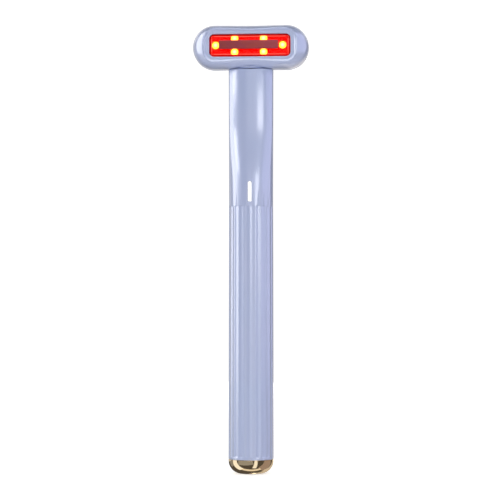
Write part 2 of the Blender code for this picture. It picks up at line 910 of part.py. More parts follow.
def make_plunger():
    """The round plunger of the push switch."""
    pivot = new_pivot("switch_plunger_axis", (0, plunger_bottom, controls_height))
    return new_part("switch_plunger", cylinder(
        "switch_plunger", plunger_radius, (0, 0, 0), (0, plunger_top - plunger_bottom, 0), small_steps,
        plunger_radius * 0.85,
    ), white_plastic, pivot)


# Cell, its tabs and the leads

def make_cell():
    """A round lithium cell in its sleeve."""
    profile = [
        (0, cell_length),
        *quarter_arc((cell_radius - cell_edge, cell_length - cell_edge), cell_edge, 90, 0, 2),
        *quarter_arc((cell_radius - cell_edge, cell_edge), cell_edge, 0, -90, 2),
        (0, 0),
    ]
    return turned("battery_cell", profile, cell_sleeve, place=(0, -cell_shift, cell_bottom), steps=36)


def make_tab(name, low):
    """A strip welded across one end of the cell."""
    half_length = cell_radius - cell_edge
    return new_part(name, block(
        name, (-tab_width / 2, -cell_shift - half_length / 2, low),
        (tab_width / 2, half_length - cell_shift, low + tab_thickness),
    ), steel)


def make_leads():
    """The wires inside the handle, which lie along the wall behind the cell."""
    wall_run = bore_radius - seat_gap - lead_radius
    over_board = board_back + seat_gap + lead_radius
    back = math.sqrt(wall_run ** 2 - lead_spacing ** 2)
    tab_edge = cell_radius - cell_edge - cell_shift
    rise = cell_bay_top + bulkhead_thickness / 2
    lead("battery_lead_positive", [
        (0, tab_edge - lead_radius, cell_top + 2 * seat_gap + tab_thickness + lead_radius),
        (0, tab_edge + lead_radius / 2, rise),
        (0, (over_board + tab_edge) / 2, (rise + lead_turn_up) / 2),
        (0, over_board, lead_turn_up),
        (0, over_board, lead_finish),
    ], lead_radius, lead_red)
    low = cell_bottom - 2 * seat_gap - tab_thickness
    lead("battery_lead_negative", [
        (lead_spacing, tab_edge + lead_radius, low - lead_radius),
        (lead_spacing, back, low + 3 * lead_radius),
        (lead_spacing, back, cell_top),
        (lead_spacing, over_board, lead_turn_up),
        (lead_spacing, over_board, lead_finish),
    ], lead_radius, lead_black)
    lead("charge_lead", [
        (-lead_spacing, back, charge_board_top + seat_gap + lead_radius),
        (-lead_spacing, back, cell_top),
        (-lead_spacing, over_board, lead_turn_up),
        (-lead_spacing, over_board, lead_finish),
    ], lead_radius, lead_red)


# Charging board and socket

def charge_board_sides():
    """The board's two faces across the handle, beside the socket."""
    near = socket_height / 2 + seat_gap
    return -near - board_thickness, -near


def make_charge_board():
    """The board that the socket is soldered to, on edge in the trough."""
    far, near = charge_board_sides()
    front = seat_gap - math.sqrt(chassis_inner_radius ** 2 - far ** 2)
    back = math.sqrt(chassis_radius ** 2 - far ** 2)
    return new_part("charge_board", block(
        "charge_board", (far, front, charge_board_bottom), (near, back, charge_board_top)
    ), board_green)


def make_socket():
    """The steel shell of the charging socket, open at the back of the handle."""
    half_height, half_width = socket_height / 2, socket_width / 2
    corner = half_height - weld_distance
    floor = socket_mouth - socket_depth
    outer = rounded_outline(half_height, half_width, corner, 2 * slab_corner_steps)
    inner = rounded_outline(
        half_height - socket_wall, half_width - socket_wall, corner - socket_wall, 2 * slab_corner_steps
    )
    rings = [
        across_y(outer, floor), across_y(outer, socket_mouth),
        across_y(inner, socket_mouth), across_y(inner, floor + socket_wall),
    ]
    return new_part("usb_socket", loft("usb_socket", rings), steel, place=(0, 0, socket_middle))


def make_socket_tongue():
    """The flat tongue with the contacts, in the middle of the socket."""
    floor = socket_mouth - socket_depth + socket_wall + seat_gap
    tongue = new_part("usb_tongue", block(
        "usb_tongue", (-tongue_thickness / 2, floor, socket_middle - tongue_width / 2),
        (tongue_thickness / 2, socket_mouth - tongue_set_back, socket_middle + tongue_width / 2),
    ), black_plastic)
    soften(tongue, tongue_thickness / 4, 1)
    return tongue


# Head shells

def waisted_outline(half_width, half_height, corner, waist):
    """A rounded rectangle whose long sides come in a little towards their middles."""
    points = rounded_outline(half_width, half_height, corner, corner_steps)
    half = len(points) // 2
    flat = half_width - corner
    outline = []
    for start in (0, half):
        first, second = points[start + corner_steps], points[start + corner_steps + 1]
        side = []
        for step in range(1, side_steps):
            point = first.lerp(second, step / side_steps)
            pinch = waist * math.cos(math.pi / 2 * point.x / flat) ** 2
            side.append(Vector((point.x, point.y - math.copysign(pinch, point.y))))
        outline += [*points[start:start + corner_steps + 1], *side, *points[start + corner_steps + 1:start + half]]
    return outline


def head_section(depth):
    """Half width, half height, corner radius and waist of the head's outside at one depth."""
    half_width, half_height = head_width / 2, head_height / 2
    corner = half_height - head_end_flat / 2
    if depth < -widest_front:
        run = (face_depth - widest_front) / math.sin(lip_slope)
        share = (1 - math.cos(math.asin((-depth - widest_front) / run))) / (1 - math.cos(lip_slope))
        return (
            half_width + (lip_width / 2 - half_width) * share,
            half_height + (lip_height / 2 - half_height) * share,
            corner + (lip_corner_radius - corner) * share,
            side_waist + (lip_waist - side_waist) * share,
        )
    if depth > widest_back:
        share = min((depth - widest_back) / (back_depth - widest_back), 1.0)
        inset = back_inset * (1 - math.sqrt(1 - share ** 2))
        return half_width - inset, half_height - inset, corner - inset, side_waist * (1 - share)
    return half_width, half_height, corner, side_waist


def head_ring(depth, inset=0.0):
    """One ring of the head's outside, or of a wall set in from it."""
    half_width, half_height, corner, waist = head_section(depth)
    outline = waisted_outline(
        half_width - inset, half_height - inset, max(corner - inset, head_end_flat), waist
    )
    return across_y(outline, depth)


def front_depths(start, end):
    """Depths of the front shell's rings, closer together towards the lip."""
    run = (face_depth - widest_front) / math.sin(lip_slope)
    first = math.asin(max(-start - widest_front, 0.0) / run)
    last = math.asin((-end - widest_front) / run)
    return [-widest_front - run * math.sin(first + (last - first) * step / roll_steps)
            for step in range(roll_steps + 1)]


def face_ring(width, height, corner, depth, grow=0.0, waist=0.0):
    """A ring of the face, round the lip or the window."""
    outline = waisted_outline(width / 2 + grow, height / 2 + grow, corner + grow, waist)
    return across_y(outline, depth)


def front_shell_mesh():
    """The bezel: rolled side, soft lip, dished face, window edge, and a tongue along the parting line."""
    inner_start = face_inner_level
    tongue_inset = head_wall * rim_share + seat_gap
    tongue_end = front_edge + tongue_reach
    rings = [head_ring(front_edge)]
    rings += [head_ring(depth) for depth in front_depths(-widest_front, lip_softness - face_depth)]
    rings += [
        face_ring(
            lip_width, lip_height, lip_corner_radius, -face_depth, -lip_softness / 2, lip_waist
        ),
        face_ring(
            lip_width, lip_height, lip_corner_radius, -face_depth, -lip_softness, lip_waist
        ),
        face_ring(
            lip_width, lip_height, lip_corner_radius,
            bezel_level - dish_depth / 3, -lip_softness - dish_inset, lip_waist,
        ),
        face_ring(window_width, window_height, window_corner_radius, bezel_level, window_edge * 2),
        face_ring(window_width, window_height, window_corner_radius, bezel_level, window_edge),
        face_ring(window_width, window_height, window_corner_radius, bezel_level + window_edge),
        face_ring(window_width, window_height, window_corner_radius, face_inner_level),
        head_ring(inner_start, head_wall),
    ]
    rings += [head_ring(depth, head_wall) for depth in reversed(front_depths(-widest_front, inner_start)[:-1])]
    rings += [
        head_ring(tongue_end, head_wall),
        head_ring(tongue_end, tongue_inset),
        head_ring(front_edge, tongue_inset),
    ]
    return loft("head_front_shell", rings, closed=True)


def seat_block(start, end, half_length, low, high):
    """A pad across the bottom of a shell, beside the shaft."""
    return block("seat_block", (-half_length, start, low), (half_length, end, high))


def shaft_notch():
    """Room for the shaft where it comes up through both shells."""
    return cylinder(
        "shaft_notch", shaft_radius + seat_gap, (0, 0, -head_height / 2 - cut_overrun),
        (0, 0, keeper_top + cut_overrun), turned_steps // 2,
    )


def make_front_shell(pivot, place):
    """The front of the head, with posts and pegs behind its face and the front half of the flange's seat."""
    shell = new_part("head_front_shell", front_shell_mesh(), lavender, pivot, place)
    bed = inner_floor - head_wall / 2
    join(shell, seat_block(
        -flange_width / 2 - seat_gap, front_edge, flange_length / 2 + head_wall, bed, seat_top
    ))
    for side in (-1, 1):
        post = face_inner_level - face_thickness / 2
        join(shell, cylinder(
            "peg_post", peg_post_radius, (side * peg_offset, post, 0), (side * peg_offset, front_edge, 0)
        ))
        join(shell, cylinder(
            "peg", peg_radius, (side * peg_offset, front_edge - cut_overrun, 0),
            (side * peg_offset, front_edge + peg_length, 0), small_steps, peg_radius * 0.8,
        ))
    half_length = flange_length / 2 + head_wall + seat_gap
    cut(shell, block(
        "tongue_gap", (-half_length, front_edge, -head_height / 2 - cut_overrun),
        (half_length, front_edge + tongue_reach + cut_overrun, seat_top),
    ))
    cut(shell, shaft_notch())
    return shell


def rear_shell_mesh():
    """The back of the head: a round-backed cup whose rim takes the front shell's tongue."""
    back = [
        widest_back + (back_depth - widest_back) * math.sin(math.pi / 2 * step / back_steps)
        for step in range(back_steps, -1, -1)
    ]
    rim_inset = head_wall * rim_share
    rebate = front_edge + tongue_reach + seat_gap
    room = [depth for depth in reversed(back) if rebate < depth < back_inner_level]
    rings = [head_ring(depth) for depth in back]
    rings += [
        head_ring(rear_edge),
        head_ring(rear_edge, rim_inset),
        head_ring(rebate, rim_inset),
        head_ring(rebate, head_wall),
    ]
    rings += [head_ring(depth, head_wall) for depth in room]
    rings.append(head_ring(back_inner_level, head_wall))
    return loft("head_rear_shell", rings)


def make_rear_shell(pivot, place):
    """The back of the head, with the flange's seat and keeper, the pegs' bosses and two board pillars."""
    shell = new_part("head_rear_shell", rear_shell_mesh(), lavender, pivot, place)
    wall_middle = back_inner_level + head_wall / 2
    half_length = flange_length / 2 + head_wall
    join(shell, seat_block(
        rear_edge, flange_width / 2 + seat_gap, half_length, inner_floor - head_wall / 2, seat_top
    ))
    join(shell, seat_block(rear_edge, wall_middle, half_length, keeper_bottom, keeper_top))
    for side in (-1, 1):
        join(shell, cylinder(
            "peg_boss", peg_boss_radius, (side * peg_offset, rear_edge, 0),
            (side * peg_offset, wall_middle, 0),
        ))
        cut(shell, cylinder(
            "peg_hole", peg_radius + seat_gap, (side * peg_offset, rear_edge - cut_overrun, 0),
            (side * peg_offset, front_edge + peg_length + seat_gap, 0),
        ))
        join(shell, cylinder(
            "board_pillar", pillar_radius, (side * pillar_offset, led_board_back + seat_gap, pillar_height),
            (side * pillar_offset, wall_middle, pillar_height),
        ))
    cut(shell, shaft_notch())
    return shell


# Window and light engine

def led_places():
    """Name and place of each diode, across and up from the middle of the window."""
    return {
        "led_left": (-led_end_offset, led_lift),
        "led_right": (led_end_offset, led_lift),
        "led_upper_left": (-led_inner_offset, led_lift + led_row_rise),
        "led_upper_right": (led_inner_offset, led_lift + led_row_rise),
        "led_lower_left": (-led_inner_offset, led_lift - led_row_rise),
        "led_lower_right": (led_inner_offset, led_lift - led_row_rise),
    }


def stud_holes(part, start, end):
    """The two holes that the contact plate's studs go through."""
    for side in (-1, 1):
        cut(part, cylinder(
            "stud_hole", stud_radius + seat_gap, (side * stud_spacing / 2, start - cut_overrun, 0),
            (side * stud_spacing / 2, end + cut_overrun, 0), small_steps // 2,
        ))


def make_lens(pivot, place):
    """The red window: a flange behind the bezel and a bevelled front that fills the opening."""
    front = face_ring(window_width, window_height, window_corner_radius, lens_front,
                      -pipe_gap - lens_bevel_width)
    rim_depth = lens_front + lens_bevel_height
    rings = [
        face_ring(window_width, window_height, window_corner_radius, lens_back, lens_flange_lip),
        face_ring(window_width, window_height, window_corner_radius, lens_flange_front, lens_flange_lip),
        face_ring(window_width, window_height, window_corner_radius, lens_flange_front, -pipe_gap),
        face_ring(window_width, window_height, window_corner_radius, rim_depth, -pipe_gap),
        front,
    ]
    lens = new_part("window_lens", loft("window_lens", rings), red_lens, pivot, place)
    stud_holes(lens, lens_front, lens_back)
    return lens


def make_contact_plate(pivot, place):
    """The steel bar on the window, with two studs that go back to the board."""
    outline = rounded_outline(
        plate_length / 2, plate_height / 2, plate_thickness / 2, slab_corner_steps
    )
    plate = new_part("contact_plate", loft("contact_plate", [
        across_y(outline, plate_front), across_y(outline, plate_back)
    ]), steel, pivot, place)
    for side in (-1, 1):
        join(plate, cylinder(
            "stud", stud_radius, (side * stud_spacing / 2, plate_front + plate_thickness / 2, 0),
            (side * stud_spacing / 2, led_board_front - seat_gap, 0), small_steps // 2,
        ))
    return plate


def make_reflector(pivot, place):
    """The plate round the diodes, which throws their light forward."""
    outline = rounded_outline(
        stack_half_width, stack_height / 2, window_corner_radius, slab_corner_steps
    )
    plate = new_part("reflector_plate", loft("reflector_plate", [
        across_y(outline, reflector_front), across_y(outline, reflector_back)
    ]), white_plastic, pivot, place)
    for across, up in led_places().values():
        cut(plate, cylinder(
            "led_window", led_radius + seat_gap, (across, reflector_front - cut_overrun, up),
            (across, reflector_back + cut_overrun, up),
        ))
    stud_holes(plate, reflector_front, reflector_back)
    return plate


def make_led_board(pivot, place):
    """The board behind the diodes, notched above the shaft's flange."""
    outline = rounded_outline(
        stack_half_width, stack_height / 2, window_corner_radius, slab_corner_steps
    )
    board = new_part("led_board", loft("led_board", [
        across_y(outline, led_board_front), across_y(outline, led_board_back)
    ]), board_green, pivot, place)
    half_length = flange_length / 2 + seat_gap
    cut(board, block(
        "flange_notch", (-half_length, led_board_front - cut_overrun, -stack_height / 2 - cut_overrun),
        (half_length, led_board_back + cut_overrun, flange_top + seat_gap),
    ))
    return board


def make_leds(pivot, place):
    """Six diodes, each a square base with a round dome."""
    for name, (across, up) in led_places().items():
        half = led_base_size / 2
        middle = Vector(place) + Vector((across, 0, up))
        led = new_part(name, block(
            name, (-half, led_base_front, -half), (half, led_base_back, half)
        ), led_yellow, pivot, middle)
        profile = []
        for step in range(dome_steps):
            angle = math.pi / 2 * step / dome_steps
            profile.append((led_radius * math.cos(angle), led_dome_height * math.sin(angle)))
        rings = [
            [Vector((radius * math.cos(turn), led_base_front - rise, radius * math.sin(turn)))
             for turn in (2 * math.pi * step / led_steps for step in range(led_steps))]
            for radius, rise in [(led_radius, -led_base_height / 2), *profile]
        ]
        join(led, loft("led_dome", rings))


# Swivel

def make_shaft(pivot):
    """The hollow shaft: its flange is held by the shells, its tail goes down through the neck's floor."""
    top = head_middle - neck_top + flange_top
    profile = [
        (0, top),
        (shaft_radius, top),
        (shaft_radius, groove_top),
        (groove_radius, groove_top),
        (groove_radius, groove_bottom),
        (shaft_radius, groove_bottom),
        (shaft_radius, shaft_bottom),
        (0, shaft_bottom),
    ]
    shaft = turned("swivel_shaft", profile, brass, pivot, steps=turned_steps // 2)
    rise = head_middle - neck_top
    outline = rounded_outline(
        flange_length / 2, flange_width / 2, flange_thickness, slab_corner_steps
    )
    join(shaft, loft("shaft_flange", [
        across_z(outline, rise + flange_bottom), across_z(outline, rise + flange_top)
    ]))
    join(shaft, block(
        "stop_tooth", (-tooth_width / 2, shaft_radius / 2, tooth_bottom),
        (tooth_width / 2, bushing_radius, tooth_top),
    ))
    cut(shaft, cylinder(
        "shaft_bore", shaft_bore_radius, (0, 0, shaft_bottom - cut_overrun), (0, 0, top + cut_overrun)
    ))
    return shaft


def make_bushing():
    """The plain bearing in the neck's floor. Its skirt is cut away where the stop tooth swings."""
    profile = [
        (bushing_bore, 0),
        (bushing_flange_radius, 0),
        (bushing_flange_radius, -bushing_flange_thickness),
        (bushing_radius, -bushing_flange_thickness),
        (bushing_radius, bushing_bottom),
        (bushing_bore, bushing_bottom),
    ]
    bushing = turned("swivel_bushing", profile, white_plastic, place=(0, 0, neck_top), closed=True)
    reach = bushing_radius + cut_overrun
    sweep = math.degrees(swivel_limit + tooth_half_angle + stop_slack)
    outline = [(0, 0), *quarter_arc((0, 0), reach, 90 - sweep, 90 + sweep, small_steps)]
    cut(bushing, loft("stop_window", [
        across_z(outline, bushing_bottom - cut_overrun), across_z(outline, -floor_thickness)
    ]))
    return bushing


def make_washer(pivot):
    """The spring washer that keeps the head where it is turned."""
    profile = [
        (shaft_radius + seat_gap, washer_top),
        (washer_radius, washer_top),
        (washer_radius, washer_bottom),
        (shaft_radius + seat_gap, washer_bottom),
    ]
    return turned("wave_washer", profile, steel, pivot, closed=True, steps=turned_steps // 2)


def make_clip(pivot):
    """The open clip in the shaft's groove."""
    inner = groove_radius + pipe_gap
    profile = [
        (inner, clip_top), (clip_radius, clip_top), (clip_radius, clip_bottom), (inner, clip_bottom)
    ]
    clip = turned("retaining_clip", profile, steel, pivot, closed=True, steps=turned_steps // 2)
    cut(clip, block(
        "clip_mouth", (-clip_mouth / 2, -clip_radius - cut_overrun, clip_bottom - cut_overrun),
        (clip_mouth / 2, 0, clip_top + cut_overrun),
    ))
    return clip


def make_head_lead(pivot):
    """The cable on the swivel axis, from the plug on the main board to the LED board."""
    rise = head_middle - neck_top
    radius = (shaft_bore_radius - seat_gap) * 0.8
    low = chassis_top + 2 * seat_gap + plug_height - neck_top
    top = rise + flange_top
    board_side = led_board_back + seat_gap + radius
    lead("head_lead", [
        (0, 0, low),
        (0, 0, top),
        (0, board_side / 3, top + 2 * radius),
        (0, board_side, top + 3 * radius),
    ], radius, lead_black, pivot)


# Vibration motor

def along_x(part):
    """Turn a piece that was made along Z so that it lies along X."""
    part.rotation_euler = (0, math.pi / 2, 0)
    return part


def make_motor(pivot, place):
    """The motor's case in its rubber boot, and the shaft with the eccentric weight."""
    centre = Vector(place) + Vector((motor_offset, motor_depth, motor_rise))
    case = turned("motor_case", [
        (0, motor_length),
        (motor_radius, motor_length),
        (motor_radius, 0),
        (0, 0),
    ], steel, pivot, centre, steps=28)
    along_x(case)

    boot_start = (motor_length - motor_boot_length) / 2
    boot_inner = motor_radius + pipe_gap
    boot = turned("motor_boot", [
        (boot_inner, boot_start + motor_boot_length),
        (boot_radius, boot_start + motor_boot_length),
        (boot_radius, boot_start),
        (boot_inner, boot_start),
    ], rubber, pivot, centre, closed=True, steps=28)
    along_x(boot)

    rotor = new_pivot("motor_axis", (0, 0, 0))
    rotor.parent = pivot
    rotor.location = Vector(place) + Vector((motor_end, motor_depth, motor_rise))
    shaft = new_part("motor_shaft", cylinder(
        "motor_shaft", motor_shaft_radius, (seat_gap, 0, 0),
        (weight_gap + weight_length + seat_gap, 0, 0), small_steps // 2,
    ), steel, rotor)

    outline = quarter_arc((0, 0), weight_radius, 180, 360, small_steps)
    hub = 2 * motor_shaft_radius + seat_gap
    outline += quarter_arc((0, 0), hub, 0, 180, small_steps // 2)
    rings = [
        [Vector((along, point[0], point[1])) for point in outline]
        for along in (weight_gap, weight_gap + weight_length)
    ]
    weight = new_part("motor_weight", loft("motor_weight", rings), brass, rotor)
    cut(weight, cylinder(
        "weight_bore", motor_shaft_radius + pipe_gap, (weight_gap - cut_overrun, 0, 0),
        (weight_gap + weight_length + cut_overrun, 0, 0), small_steps // 2,
    ))
    return case, boot, shaft, weight


# Build the wand

make_barrel()
make_end_cap()
make_seal()
make_chassis()
make_main_board()
for screw_name, screw_height in zip(("board_screw_lower", "board_screw_upper"), screw_heights()):
    make_screw(screw_name, screw_height)
make_board_parts()
make_light_guide()
make_power_button()
make_plunger()
make_cell()
make_tab("battery_tab_bottom", cell_bottom - seat_gap - tab_thickness)
make_tab("battery_tab_top", cell_top + seat_gap)
make_leads()
make_charge_board()
make_socket()
make_socket_tongue()

head_pivot = new_pivot("swivel_axis", (0, 0, neck_top))
head_place = (0, 0, head_middle - neck_top)
make_front_shell(head_pivot, head_place)
make_rear_shell(head_pivot, head_place)
make_lens(head_pivot, head_place)
make_contact_plate(head_pivot, head_place)
make_reflector(head_pivot, head_place)
make_led_board(head_pivot, head_place)
make_leds(head_pivot, head_place)
make_shaft(head_pivot)
make_bushing()
make_washer(head_pivot)
make_clip(head_pivot)
make_head_lead(head_pivot)
make_motor(head_pivot, head_place)
bpy.context.view_layer.update()
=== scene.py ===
# Red light therapy wand, dressed: a pearl lavender handle with a gold foot and a lit red window.
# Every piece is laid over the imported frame, in metres, and rides on one of its bodies.

import math

import bmesh
import bpy
from mathutils import Matrix, Vector


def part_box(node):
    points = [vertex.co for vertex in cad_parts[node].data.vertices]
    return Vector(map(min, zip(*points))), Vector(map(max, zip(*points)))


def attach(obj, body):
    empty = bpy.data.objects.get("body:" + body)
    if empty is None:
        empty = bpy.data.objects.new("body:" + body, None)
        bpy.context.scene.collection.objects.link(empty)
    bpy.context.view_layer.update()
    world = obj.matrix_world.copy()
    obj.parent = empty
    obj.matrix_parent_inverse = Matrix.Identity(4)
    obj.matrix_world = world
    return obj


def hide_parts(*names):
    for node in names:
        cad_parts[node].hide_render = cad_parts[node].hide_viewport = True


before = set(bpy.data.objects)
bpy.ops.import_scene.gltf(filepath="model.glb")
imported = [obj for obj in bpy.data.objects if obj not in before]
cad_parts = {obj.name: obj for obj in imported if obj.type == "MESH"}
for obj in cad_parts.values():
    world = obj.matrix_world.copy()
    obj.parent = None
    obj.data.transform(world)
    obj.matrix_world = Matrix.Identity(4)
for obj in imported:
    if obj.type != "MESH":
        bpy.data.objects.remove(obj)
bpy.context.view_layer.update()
mm = 0.001


# Camera
# It stands 650 mm away, a little to the right of the wand's front and low down, and looks
# slightly upwards, so the head is seen from below and the foot from above.

camera_distance = 650 * mm
camera_height = 57.7 * mm
camera_azimuth = math.radians(3.6)
camera_pitch = math.radians(2.277)
camera_turn = math.radians(0.036)
focal_length = 124.68
sensor_width = 36.0
near_clip = 10 * mm

camera = bpy.data.objects.new("camera", bpy.data.cameras.new("camera"))
bpy.context.scene.collection.objects.link(camera)
camera.data.lens = focal_length
camera.data.sensor_width = sensor_width
camera.data.clip_start = near_clip
camera.location = (
    camera_distance * math.sin(camera_azimuth), -camera_distance * math.cos(camera_azimuth), camera_height
)
camera.rotation_euler = (math.pi / 2 + camera_pitch, 0, camera_azimuth + camera_turn)
bpy.context.scene.camera = camera
bpy.context.scene.view_settings.view_transform = "Standard"


# Handle barrel
# One tube of ABS plastic moulded in pearl lavender. The grip has 24 flutes that end in round
# tops, and the front of the neck is scooped flat. The head's bearing sits in its top.

def linear(code):
    """A linear colour from an sRGB hex value."""
    channels = (int(code[start:start + 2], 16) / 255 for start in (1, 3, 5))
    return tuple(c / 12.92 if c <= 0.04045 else ((c + 0.055) / 1.055) ** 2.4 for c in channels) + (1.0,)


def connect(tree, node, inputs):
    """Give inputs of a node their values, or a link where a value is another node's output."""
    for key, value in inputs.items():
        if isinstance(value, bpy.types.NodeSocket):
            tree.links.new(value, node.inputs[key])
        else:
            node.inputs[key].default_value = value


def add(tree, kind, inputs=None, **settings):
    """Add one shader node with its settings, values and links."""
    node = tree.nodes.new(f"ShaderNode{kind}")
    for name, value in settings.items():
        setattr(node, name, value)
    connect(tree, node, inputs or {})
    return node


def start_material(name):
    """A new material, its node tree and its shader."""
    material = bpy.data.materials.new(name)
    material.use_nodes = True
    return material, material.node_tree, material.node_tree.nodes["Principled BSDF"]


weld = 0.0005 * mm


def skin(rings, loop=False):
    """A skin through rings of points: a grid whose rows follow the rings and whose columns go round."""
    around = len(rings[0])
    rows = [*rings, rings[0]] if loop else rings
    work = bmesh.new()
    bmesh.ops.create_grid(work, x_segments=around, y_segments=len(rows) - 1, size=1.0)
    work.verts.ensure_lookup_table()
    for number, vert in enumerate(work.verts):
        row, column = divmod(number, around + 1)
        vert.co = rows[row][column % around]
    bmesh.ops.remove_doubles(work, verts=work.verts, dist=weld)
    if not loop:
        bmesh.ops.holes_fill(work, edges=[edge for edge in work.edges if edge.is_boundary], sides=0)
    bmesh.ops.recalc_face_normals(work, faces=work.faces)
    return work


sharp_angle = math.radians(35)


def as_object(name, work):
    """Put a bmesh into the scene as an object."""
    mesh = bpy.data.meshes.new(name)
    work.to_mesh(mesh)
    work.free()
    made = bpy.data.objects.new(name, mesh)
    bpy.context.scene.collection.objects.link(made)
    return made


def finish_piece(name, work, material, body, nodes=()):
    """Make a finished bmesh an object that rides on a body and stands for CAD nodes."""
    piece = as_object(name, work)
    piece.data.shade_smooth()
    piece.data.set_sharp_from_angle(angle=sharp_angle)
    piece.data.materials.append(material)
    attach(piece, body)
    if nodes:
        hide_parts(*nodes)
    return piece


def carve(work, cutters):
    """Cut each of the cutters out of a bmesh."""
    shapes = [as_object("carving", shape) for shape in (work, *cutters)]
    carved, *tools = shapes
    for tool in tools:
        boolean = carved.modifiers.new("cut", "BOOLEAN")
        boolean.operation = "DIFFERENCE"
        boolean.solver = "EXACT"
        boolean.object = tool
    result = bmesh.new()
    result.from_object(carved, bpy.context.evaluated_depsgraph_get())
    for used in shapes:
        bpy.data.objects.remove(used)
    return result


barrel_low, barrel_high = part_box("handle_barrel")
foot_radius = barrel_high[0]
barrel_bottom = barrel_low[2]
foot_drop = 0.22 * mm
barrel_foot = barrel_bottom - foot_drop
seam_gap = 0.1 * mm
neck_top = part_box("head_front_shell")[0][2] - seam_gap
waist_radius = 8.33 * mm
neck_radius = 8.46 * mm
flute_count = 24
flute_samples = 24
flute_depth = 0.17 * mm
flute_width = 1.75 * mm
flute_run_out = 0.55 * mm
crest_softness = 0.1 * mm
rim_height = 0.6 * mm
grip_length = 93.7 * mm
flute_bottom = barrel_bottom + rim_height
flute_top = flute_bottom + grip_length
band_height = 6.97 * mm
scoop_depth = 2.7 * mm
scoop_front_radius = 11.7 * mm
scoop_edge = 0.15 * mm
scoop_foot = flute_top + band_height
scoop_run = 24.77 * mm
relief_start = 4.5 * mm
relief_drop = 0.3 * mm
rim_round = 0.25 * mm
bore_radius = 7.03 * mm
bore_rise = 10.57 * mm
bore_step = flute_top + bore_rise
neck_bore_radius = 4.46 * mm
bearing_floor = 3.0 * mm
floor_bottom = barrel_high[2] - bearing_floor
bearing_hole_radius = 3.6 * mm
bearing_seat_radius = 4.3 * mm
bearing_flange = 1.2 * mm
bearing_seat_depth = neck_top - barrel_high[2] + bearing_flange


def flute_cut(arc, over):
    """Depth of a flute at an arc distance from its middle, and past the start of its round end."""
    rod = (flute_width ** 2 / 4 + flute_depth ** 2) / (2 * flute_depth)
    reach = math.hypot(arc, over * flute_width / 2 / flute_run_out)
    return max(math.sqrt(max(rod ** 2 - reach ** 2, 0)) - rod + flute_depth, 0)


def neck_reach(lean, radius, sunk):
    """Distance from the axis to the skin, whose front is scooped to a broader arc with soft edges."""
    if sunk <= 0:
        return radius
    share = sunk / scoop_depth
    front_radius = radius + (scoop_front_radius - radius) * share
    centre = front_radius - (radius - sunk)
    reach = math.sqrt(front_radius ** 2 - (centre * math.sin(lean)) ** 2) - centre * math.cos(lean)
    edge = scoop_edge * share
    return min(reach, radius) - edge * math.log1p(math.exp(-abs(reach - radius) / edge))


def barrel_ring(height, radius, sunk=0.0, over=None):
    """One ring of the barrel, from the back round to the front and on."""
    ring = []
    pitch = 2 * math.pi / flute_count
    for step in range(flute_count * flute_samples):
        angle = math.pi / 2 + 2 * math.pi * step / (flute_count * flute_samples)
        lean = abs(math.remainder(angle + math.pi / 2, 2 * math.pi))
        reach = neck_reach(lean, radius, sunk)
        if over is not None:
            arc = math.remainder(angle + math.pi / 2 - pitch / 2, pitch) * radius
            cuts = [flute_cut(arc + side * crest_softness, over) for side in (-1, 0, 1)]
            reach -= sum(cuts) / 3
        ring.append((reach * math.cos(angle), reach * math.sin(angle), height))
    return ring


def skin_radius(height):
    """The barrel narrows to the top of its flutes and widens again up the neck."""
    if height <= flute_top:
        share = (height - barrel_bottom) / (flute_top - barrel_bottom)
        return foot_radius + (waist_radius - foot_radius) * share
    return waist_radius + (neck_radius - waist_radius) * (height - flute_top) / (neck_top - flute_top)


def quarter_turn(steps):
    """Angles from nothing to a right angle."""
    return [math.pi / 2 * step / steps for step in range(steps + 1)]


end_steps = 9
scoop_steps = 40
rim_steps = 5
rings = [
    barrel_ring(barrel_foot, foot_radius - rim_round / 2),
    barrel_ring(barrel_foot + rim_round / 2, foot_radius),
]
for step in range(end_steps + 1):
    left = flute_run_out * (1 - step / end_steps)
    height = flute_bottom + flute_run_out - left
    rings.append(barrel_ring(height, skin_radius(height), over=left))
for step in range(end_steps + 1):
    past = flute_run_out * step / end_steps
    height = flute_top - flute_run_out + past
    rings.append(barrel_ring(height, skin_radius(height), over=past))
for step in range(scoop_steps + 1):
    share = step / scoop_steps
    height = scoop_foot + scoop_run * share
    rings.append(barrel_ring(height, skin_radius(height), sunk=scoop_depth * share ** 2 * (3 - 2 * share)))
for turn in quarter_turn(rim_steps):
    rings.append(barrel_ring(
        neck_top - rim_round * (1 - math.sin(turn)), neck_radius - rim_round * (1 - math.cos(turn)),
        sunk=scoop_depth,
    ))
for height, radius in (
    (neck_top, bearing_seat_radius),
    (neck_top - bearing_seat_depth, bearing_seat_radius),
    (neck_top - bearing_seat_depth, bearing_hole_radius),
    (floor_bottom, bearing_hole_radius),
    (floor_bottom, neck_bore_radius),
    (bore_step, neck_bore_radius),
    (bore_step, bore_radius),
    (barrel_foot, bore_radius),
):
    rings.append(barrel_ring(height, radius))


def rounded_outline(half_width, half_height, radius, steps):
    """Points of a rounded rectangle, each corner an arc, anticlockwise."""
    points = []
    for quarter, (side, rise) in enumerate(((1, 1), (-1, 1), (-1, -1), (1, -1))):
        for step in range(steps + 1):
            angle = (quarter + step / steps) * math.pi / 2
            points.append(Vector((
                side * (half_width - radius) + radius * math.cos(angle),
                rise * (half_height - radius) + radius * math.sin(angle),
            )))
    return points


def facing_y(outline, depth, height=0.0):
    """Stand an outline up across the handle at one depth."""
    return [(point[0], depth, point[1] + height) for point in outline]


